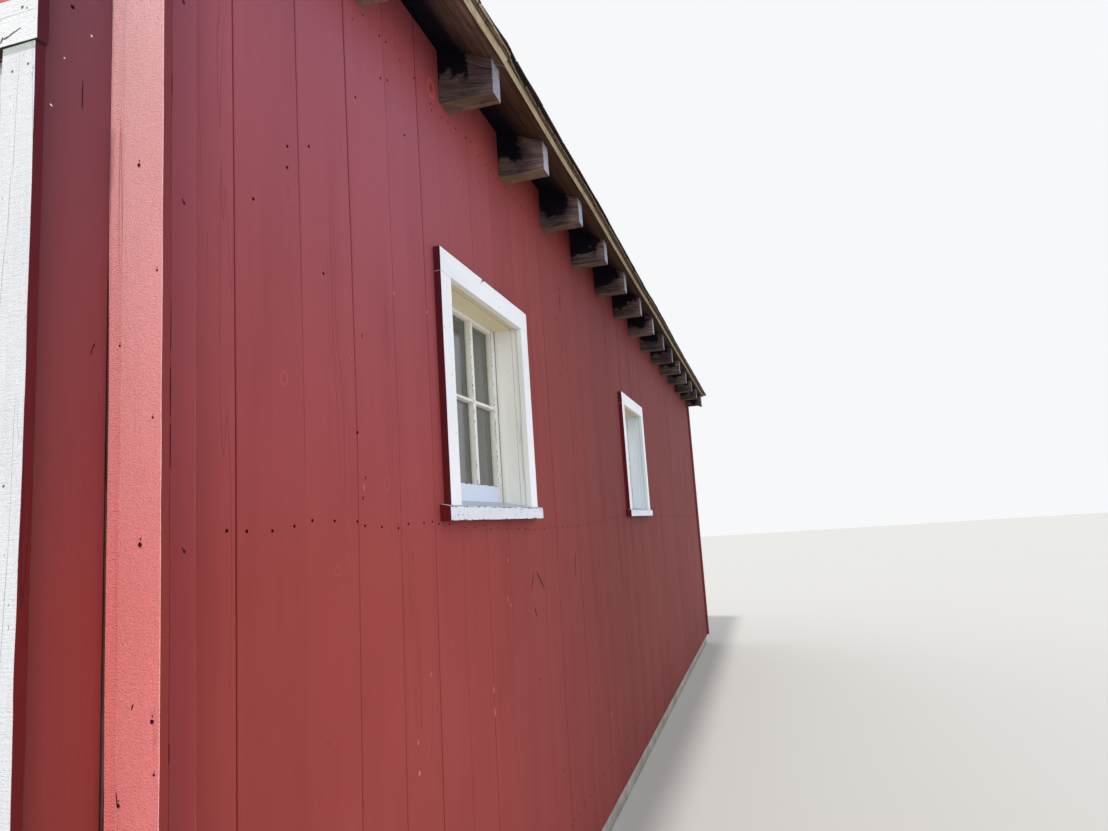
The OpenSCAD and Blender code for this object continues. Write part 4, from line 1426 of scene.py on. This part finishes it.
def diagonal(build, x0, wide, mirrored):
    """The slanting board between the frame boards of a leaf."""
    build.fresh()
    high = LEAF_TOP - LEAF_Z - 2 * BRACE_W
    turn = math.atan2(high, wide)
    u, v = BRACE_W / 2 / math.sin(turn), BRACE_W / 2 / math.cos(turn)
    outline = [(0, 0), (u, 0), (wide, high - v), (wide, high), (wide - u, high), (0, v)]
    if mirrored:
        outline = [(wide - p, q) for p, q in outline]
    rings = []
    for c in (0.0002, BRACE_T - 0.001):
        ring = []
        for p, q in outline:
            grain = (math.hypot(p, q), p * math.sin(turn) - q * math.cos(turn), c)
            ring.append(build.point((x0 + p, -LEAF_Y - c, LEAF_Z + BRACE_W + q), grain))
        rings.append(ring)
    build.shell(rings)


# Studio: the photograph's place in metres, its turn in degrees and its lens
EYE = (4.00626, -5.7105, 1.585)
YAW, TILT, ROLL = 15.1229, 8.1886, -3.8175
FOCAL_PIXELS, PHOTO_PIXELS, SENSOR_MM = 775.43, 1108, 36.0
SKY_LIGHT, SKY_SEEN = (0.93, 0.96, 1.0, 1.0), (0.93, 0.94, 0.96, 1.0)
FLOOR_REACH = 60.0


def make_camera():
    yaw, pitch, roll = (math.radians(a) for a in (YAW, TILT, ROLL))
    ahead = Vector((-math.sin(yaw) * math.cos(pitch), math.cos(yaw) * math.cos(pitch), math.sin(pitch)))
    side = Vector((math.cos(yaw), math.sin(yaw), 0))
    over = side.cross(ahead)
    right = math.cos(roll) * side + math.sin(roll) * over
    up = -math.sin(roll) * side + math.cos(roll) * over
    lens = bpy.data.cameras.new("camera")
    lens.sensor_width = SENSOR_MM
    lens.lens = FOCAL_PIXELS / PHOTO_PIXELS * SENSOR_MM
    lens.clip_end = 200.0
    made = bpy.data.objects.new("camera", lens)
    made.matrix_world = Matrix.Translation(EYE) @ Matrix((right, up, -ahead)).transposed().to_4x4()
    bpy.context.scene.collection.objects.link(made)
    bpy.context.scene.camera = made


def lamp(name, energy, angle, tint, towards):
    """A far lamp of an apparent size in degrees, in a direction from the barn."""
    light = bpy.data.lights.new(name, "SUN")
    light.energy, light.angle, light.color = energy, math.radians(angle), tint
    made = bpy.data.objects.new(name, light)
    made.rotation_euler = Vector(towards).to_track_quat("Z", "Y").to_euler()
    bpy.context.scene.collection.objects.link(made)


def make_floor():
    mesh = bpy.data.meshes.new("floor")
    corners = [(x * FLOOR_REACH, y * FLOOR_REACH, 0) for x, y in ((-1, -1), (1, -1), (1, 1), (-1, 1))]
    mesh.from_pydata(corners, [], [(0, 1, 2, 3)])
    floor = bpy.data.objects.new("floor", mesh)
    bpy.context.scene.collection.objects.link(floor)
    g = Graph("floor_paint", "X")
    g.finish(g.shade((178, 177, 174), 1.0 + g.noise(g.world, 0.4, 3.0).swing(0.03)), 0.9)
    mesh.materials.append(SKINS["floor_paint"])


def make_world():
    """A pale sky, a little bluer as light than as it shows, also through glass and in reflections."""
    world = bpy.data.worlds.new("studio")
    world.use_nodes = True
    tree = Tree(world.node_tree)
    path = tree.node("LightPath", {})
    camera, through, mirrored = (Value(tree, path.outputs["Is " + kind + " Ray"])
                                 for kind in ("Camera", "Transmission", "Glossy"))
    seen = tree.math("MAXIMUM", tree.math("MAXIMUM", camera, through), mirrored)
    lit, shown = (tree.add("Background", {0: tint, 1: 1.0}) for tint in (SKY_LIGHT, SKY_SEEN))
    tree.node("OutputWorld", {"Surface": tree.add("MixShader", {0: seen, 1: lit, 2: shown})})
    bpy.context.scene.world = world


make_camera()
make_floor()
make_world()
lamp("key", 2.8, 4, (1.0, 0.965, 0.91), (0.0, -0.62, 0.78))
lamp("fill_right", 0.9, 120, (0.95, 0.97, 1.0), (0.90, -0.25, 0.35))
lamp("fill_left", 0.5, 120, (0.95, 0.97, 1.0), (-0.90, -0.10, 0.40))
bpy.context.scene.view_settings.view_transform = "Standard"

# Materials: colour, darker and paler colour. SUN is the same red painted as in sunlight, a painted sunlit
# copy of RED, and each high colour is a painted bluish sky light towards the top
RED = (148, 59, 56), (88, 26, 30), (155, 67, 64)
SUN = (184, 96, 96), (128, 48, 50), (196, 112, 110)
ROUGH = {"saw": 1.0, "grain": 0.12, "depth": 0.0014}
for name, marks in (("red_paint", None), ("red_knotty", wall_knots)):
    paint(name, *RED, cracks=0.3, marks=marks, high=(150, 84, 102))
paint("red_corner_side", (143, 56, 57), (86, 26, 32), (147, 61, 62), saw=0.15, marks=side_shade,
      high=(128, 74, 94))
paint("red_corner_edge", (131, 48, 46), (80, 24, 28), (136, 54, 51), saw=0.3, high=(100, 48, 66))
paint("red_cheek", (140, 60, 58), (90, 28, 32), (144, 64, 61), marks=cheek_shade, high=(100, 74, 92))
# The wall's red made much darker for edges and ends of boards and trim: painted shade
paint("red_edges", (102, 26, 28), (62, 12, 18), (108, 31, 33), high=(60, 26, 46))
# Front boards and door leaves in painted sunlight; the returns and front corner boards in painted sunlight
# lighter still
paint("red_sunlit", *SUN, **ROUGH)
paint("red_return", (219, 118, 117), (150, 62, 62), (224, 126, 124), kerf=1.0, high=(212, 181, 185), **ROUGH)
paint("red_corner", (199, 110, 109), (140, 62, 62), (205, 119, 117), kerf=0.4, marks=worn_arris,
      high=(206, 174, 178), **ROUGH)
# Front rake boards in painted sunlight, back ones in the red as it stands in shade: lit and shaded copies of
# one paint
paint("rake_sunlit", *SUN, axis="X", saw=0.8, grain=0.12)
paint("rake_shaded", *RED, axis="X")
paint("white_paint", (232, 233, 240), (150, 146, 142), (240, 241, 246), grain=0.05, cracks=0.3, flakes=0.3)
paint("white_head", (212, 214, 217), (138, 134, 128), (222, 224, 226), grain=0.14, saw=0.6, cracks=0.1,
      depth=0.0014, flakes=0.4)
paint("white_rough", (196, 198, 202), (128, 124, 120), (206, 208, 211), grain=0.20, saw=0.5, kerf=0.7,
      cracks=0.0, depth=0.0016, flakes=0.6, marks=head_grime)
paint("sash_front", (226, 221, 216), (120, 112, 104), (232, 228, 222), grain=0.10, cracks=0.6, flakes=0.6)
paint("white_sash", (206, 215, 234), (150, 150, 156), (214, 222, 240), grain=0.06, cracks=0.4, flakes=0.2)
paint("white_sill", (216, 219, 230), (150, 146, 142), (224, 227, 237), grain=0.08, cracks=0.4, flakes=0.4)
paint("sill_top", (178, 186, 198), (116, 116, 112), (200, 206, 214), grain=0.2, cracks=0.8, flakes=1.0)
paint("cream_paint", (248, 248, 241), (160, 146, 122), (250, 250, 246), grain=0.05, cracks=0.4, flakes=0.1,
      marks=lining_dirt)
paint("cream_stained", (230, 213, 174), (168, 140, 98), (236, 225, 196), grain=0.10, cracks=0.6, flakes=0.3,
      marks=dirty_joint)
paint("putty", (216, 208, 184), (98, 88, 72), (228, 224, 206), grain=0.3, saw=0.6, flakes=0.8)
# Near-black paint that stands for shade: in the gap beside a sash's far stile and under the door's head
# casing
paint("gap_dirt", (58, 52, 50), (30, 26, 26), (84, 78, 74), grain=0.3, saw=0.6)
paint("chip_pale", (182, 106, 100), (150, 80, 76), (196, 128, 122))
paint("chip_dark", (52, 7, 14), (32, 4, 8), (62, 12, 18))
paint("chip_white", (232, 226, 220), (170, 160, 150), (240, 236, 232))
paint("chip_grey", (128, 124, 120), (84, 76, 70), (150, 146, 142))
paint("fleck_dark", (84, 78, 76), (52, 46, 46), (110, 102, 100))
paint("fleck_soft", (166, 164, 168), (128, 124, 122), (184, 182, 184))
raw_wood("tail_wood", (80, 64, 70), (32, 24, 32), (132, 116, 108), rings=0.5, stain=(0.20, 0.020),
         contrast=4.2)
raw_wood("tail_underside", (102, 80, 68), (44, 32, 32), (126, 104, 84), rings=0.25, contrast=2.5)
raw_wood("tail_end_grain", (138, 142, 158), (76, 66, 62), (166, 168, 178), depth=0.002, contrast=1.6,
         top=(190, 178, 166))
raw_wood("roof_board_underside", (90, 72, 64), (34, 26, 28), (112, 92, 78), stain=(0.05, 0.045),
         contrast=5.0, far=(64, 46, 32))
raw_wood("roof_board_edge", (164, 147, 118), (92, 74, 52), (182, 166, 138), contrast=1.6)
raw_wood("gap_wood", (76, 46, 42), (30, 12, 14), (100, 70, 62), contrast=2.0)
raw_wood("frame_wood", (150, 124, 92), (92, 68, 46), (172, 148, 116), axis="Z")
raw_wood("shingle_wood", (92, 74, 58), (46, 34, 26), (126, 106, 84), depth=0.002, contrast=1.5)
# Shingle wood made paler as a painted highlight, for the lit butts of the upper course
raw_wood("shingle_butt", (152, 130, 104), (78, 60, 44), (180, 158, 132), depth=0.002, contrast=1.5)
raw_wood("asphalt_edge", (34, 28, 26), (16, 12, 12), (46, 40, 38))
for k, tint in enumerate(((62, 61, 62), (70, 69, 70), (56, 55, 57))):
    asphalt("asphalt_" + str(k), tint)
concrete("concrete")
pane("old_glass")
iron("nail_iron", (44, 6, 8), (60, 12, 14))

# Side walls, back wall and front
CUTS = side_cuts()
nails = Build(9)
chips = Build(10)
for name, sign, seed, skin in (("right_wall", 1, 11, "red_knotty"), ("left_wall", -1, 12, "red_paint")):
    build, place, top = Build(seed), side_face(sign), steady(SIDE_TOP)
    joints = [-HL] + SEEN_JOINTS + spaced(SEEN_JOINTS[-1], HL, 0.222)[1:]
    faces = boards(build, place, joints, BOARD_Z, top, CUTS, BOARD_T, True, side_opened(build.rng))
    piece(name + "_boards", build, skin, "red_boards", name)
    taken, bare = (CUTS + NEAR_ROWS, CUTS + NEAR_WALL) if sign > 0 else (CUTS, CUTS)
    nail_rows(nails, place, faces, SIDE_ROWS, top, taken)
    nail_rows(nails, place, faces, (GIRT_Z,), top, taken, girt_sag)
    scattered_flecks(chips, place, faces, 70, bare)
    if sign > 0:
        for u, v in STRAYS + NEAR_NAILS:
            nail(nails, place, *on_face(faces, u / 1000, v / 1000))
        lay_marks(chips, place, RIGHT_MARKS, lambda u, v: on_face(faces, u, v))

build = Build(13)
end_x = HW - BOARD_T
faces = boards(build, back_side, spaced(-end_x, end_x, 0.224), BOARD_Z, gable_top, [RIDGE_SLOT], BOARD_T)
piece("back_wall_boards", build, "red_paint", "red_boards", "back_wall")
nail_rows(nails, back_side, faces, GABLE_ROWS, gable_top, [RIDGE_SLOT])
scattered_flecks(chips, back_side, faces, 50, [])

build = Build(14)
doorways = [(-DOOR_OUT, -DOOR_IN, BELOW, DOOR_H), (DOOR_IN, DOOR_OUT, BELOW, DOOR_H)]
front_end = FRONT_X - CHEEK_T - 0.0003
faces = boards(build, front_face(FRONT_Y), spaced(-front_end, front_end, 0.226), BOARD_Z, gable_top,
               doorways + [RIDGE_SLOT], BOARD_T, outer=(1, 1))
piece("front_wall_boards", build, "red_sunlit red_edges", "red_boards", "front_gable front_piers")
trimmed = doorways + [RIDGE_SLOT] + [(-FRONT_X, FRONT_X, BELOW, DOOR_H + HEAD_W)]
nail_rows(nails, front_face(FRONT_Y), faces, GABLE_ROWS, gable_top, trimmed)

build = Build(15)
faces = cheek(build, 1)
lay_marks(chips, cheek_side(1), CHEEK_MARKS, lambda u, v: on_face(faces, u, v))
nail(nails, cheek_side(1), *on_face(faces, 4.744, 2.523))
cheek(build, -1)
piece("cheek_boards", build, "red_cheek red_edges red_sunlit gap_wood", "red_boards", "front_cheeks")

build = Build(16)
for sign in (1, -1):
    board(build, lambda u, v, w: (sign * u, -HL - w, v), return_edge, steady(HW - BOARD_T), BOARD_Z,
          gable_top, [], BOARD_T, None, (1, 1))
piece("return_boards", build, "red_return red_edges", "red_boards", "front_returns")

for name, end, skin, seed in (("front_corner_boards", -1, "red_corner", 17),
                              ("back_corner_boards", 1, "red_paint", 18)):
    build = Build(seed)
    corner_boards(build, end)
    piece(name + "_worn", build, skin + " red_corner_side red_corner_edge", "red_boards", name, 0.0012)
corner_side = front_face(HL + CORNER_T)
nail_holes(chips, corner_side, 0.0006, CORNER_NAILS, TORN)
lay_marks(chips, corner_side, CORNER_CRACKS, lambda u, v: (u, v, 0.0005))
nail_holes(chips, casing_side, 0.0004, CASING_NAILS, SPLIT)
lay_marks(chips, casing_side, HEAD_CRACK, lambda u, v: (u, v, 0.0004))
lay_marks(chips, side_face(1), CASING_BLOT, lambda u, v: (u, v, CASING_T + 0.0004))
nail_holes(chips, side_face(1), CORNER_T + 0.0004, SIDE_BOARD_NAILS, PULLED)
corner_joint(chips)
piece("nail_heads", nails, "nail_iron", "red_boards")
piece("paint_chips", chips, "chip_pale chip_dark chip_white chip_grey fleck_dark", "red_boards")

# The other pieces: function, name, materials, slot, the node that the piece stands for, width of worn edges
FELT = "asphalt_0 asphalt_1 asphalt_2 asphalt_edge"
WINDOWS = (
    (casings, "casing_boards", "white_paint red_edges cream_paint", "white_trim", "window_casings", 0.0012),
    (sills, "sill_boards", "white_sill red_edges sill_top", "white_trim", "window_sills", 0.0015),
    (jambs, "jamb_boards", "cream_paint cream_stained", "cream_trim", "window_jambs", 0.0008),
    (sashes, "sash_bars", "cream_paint white_sash gap_dirt sash_front", "cream_trim", "window_sashes",
     0.0014),
    (putty, "sash_putty", "putty", "cream_trim", "", 0.0),
    (trim_wear, "trim_flecks", "fleck_dark fleck_soft", "white_trim", "", 0.0))
BOARD_SKINS = "roof_board_underside roof_board_edge"
ROOF = ((sheathing, "sheathing", BOARD_SKINS, "weathered_wood", "roof_boards", 0.0012),
        (wood_shingles, "old_shingles", "shingle_wood shingle_butt", "wood_shingles", "wood_shingles", 0.0),
        (asphalt_courses, "shingle_courses", FELT, "asphalt_shingles", "shingles", 0.0))


def make(seed, fill, name, skins, slot, node, bevel=0.0):
    build = Build(seed)
    fill(build)
    piece(name, build, skins, slot, node, bevel)


def make_both(pieces, seeds):
    """The right and left one of each piece in a table; seeds are those of the first."""
    for side, sign, seed in (("right_", 1, seeds[0]), ("left_", -1, seeds[1])):
        for k, (fill, name, skins, slot, node, bevel) in enumerate(pieces):
            build = Build(seed + k)
            fill(build, sign)
            piece(side + name, build, skins, slot, node and side + node, bevel)


make_both(WINDOWS, (20, 30))
make(40, beams, "beam_tails", "tail_wood tail_end_grain tail_underside", "weathered_wood", "tie_beams",
     0.0022)
make_both(ROOF, (41, 51))
make(60, ridge_caps, "ridge_cap_shingles", FELT, "asphalt_shingles", "ridge_cap")
make(70, door_trim, "door_casing_boards", "white_rough red_edges white_head gap_dirt", "white_trim",
     "door_casings", 0.0012)
make(71, door_boards, "door_leaf_boards", "red_sunlit", "red_boards", "door_leaves")
make(72, door_bracing, "door_brace_boards", "white_rough", "white_trim", "door_braces", 0.0012)

# Nodes of the frame that stay
for node in ("foundation_front", "foundation_back", "foundation_left", "foundation_right", "floor_slab"):
    dress(node, "concrete", 0.004)
for node in ("right_frame", "left_frame", "back_frame", "front_frame", "rafters", "ridge_board",
             "door_frames"):
    dress(node, "frame_wood")
for node in ("right_window_glass", "left_window_glass"):
    dress(node, "old_glass")
dress("front_rake_boards", "rake_sunlit", 0.002)
dress("back_rake_boards", "rake_shaded", 0.002)
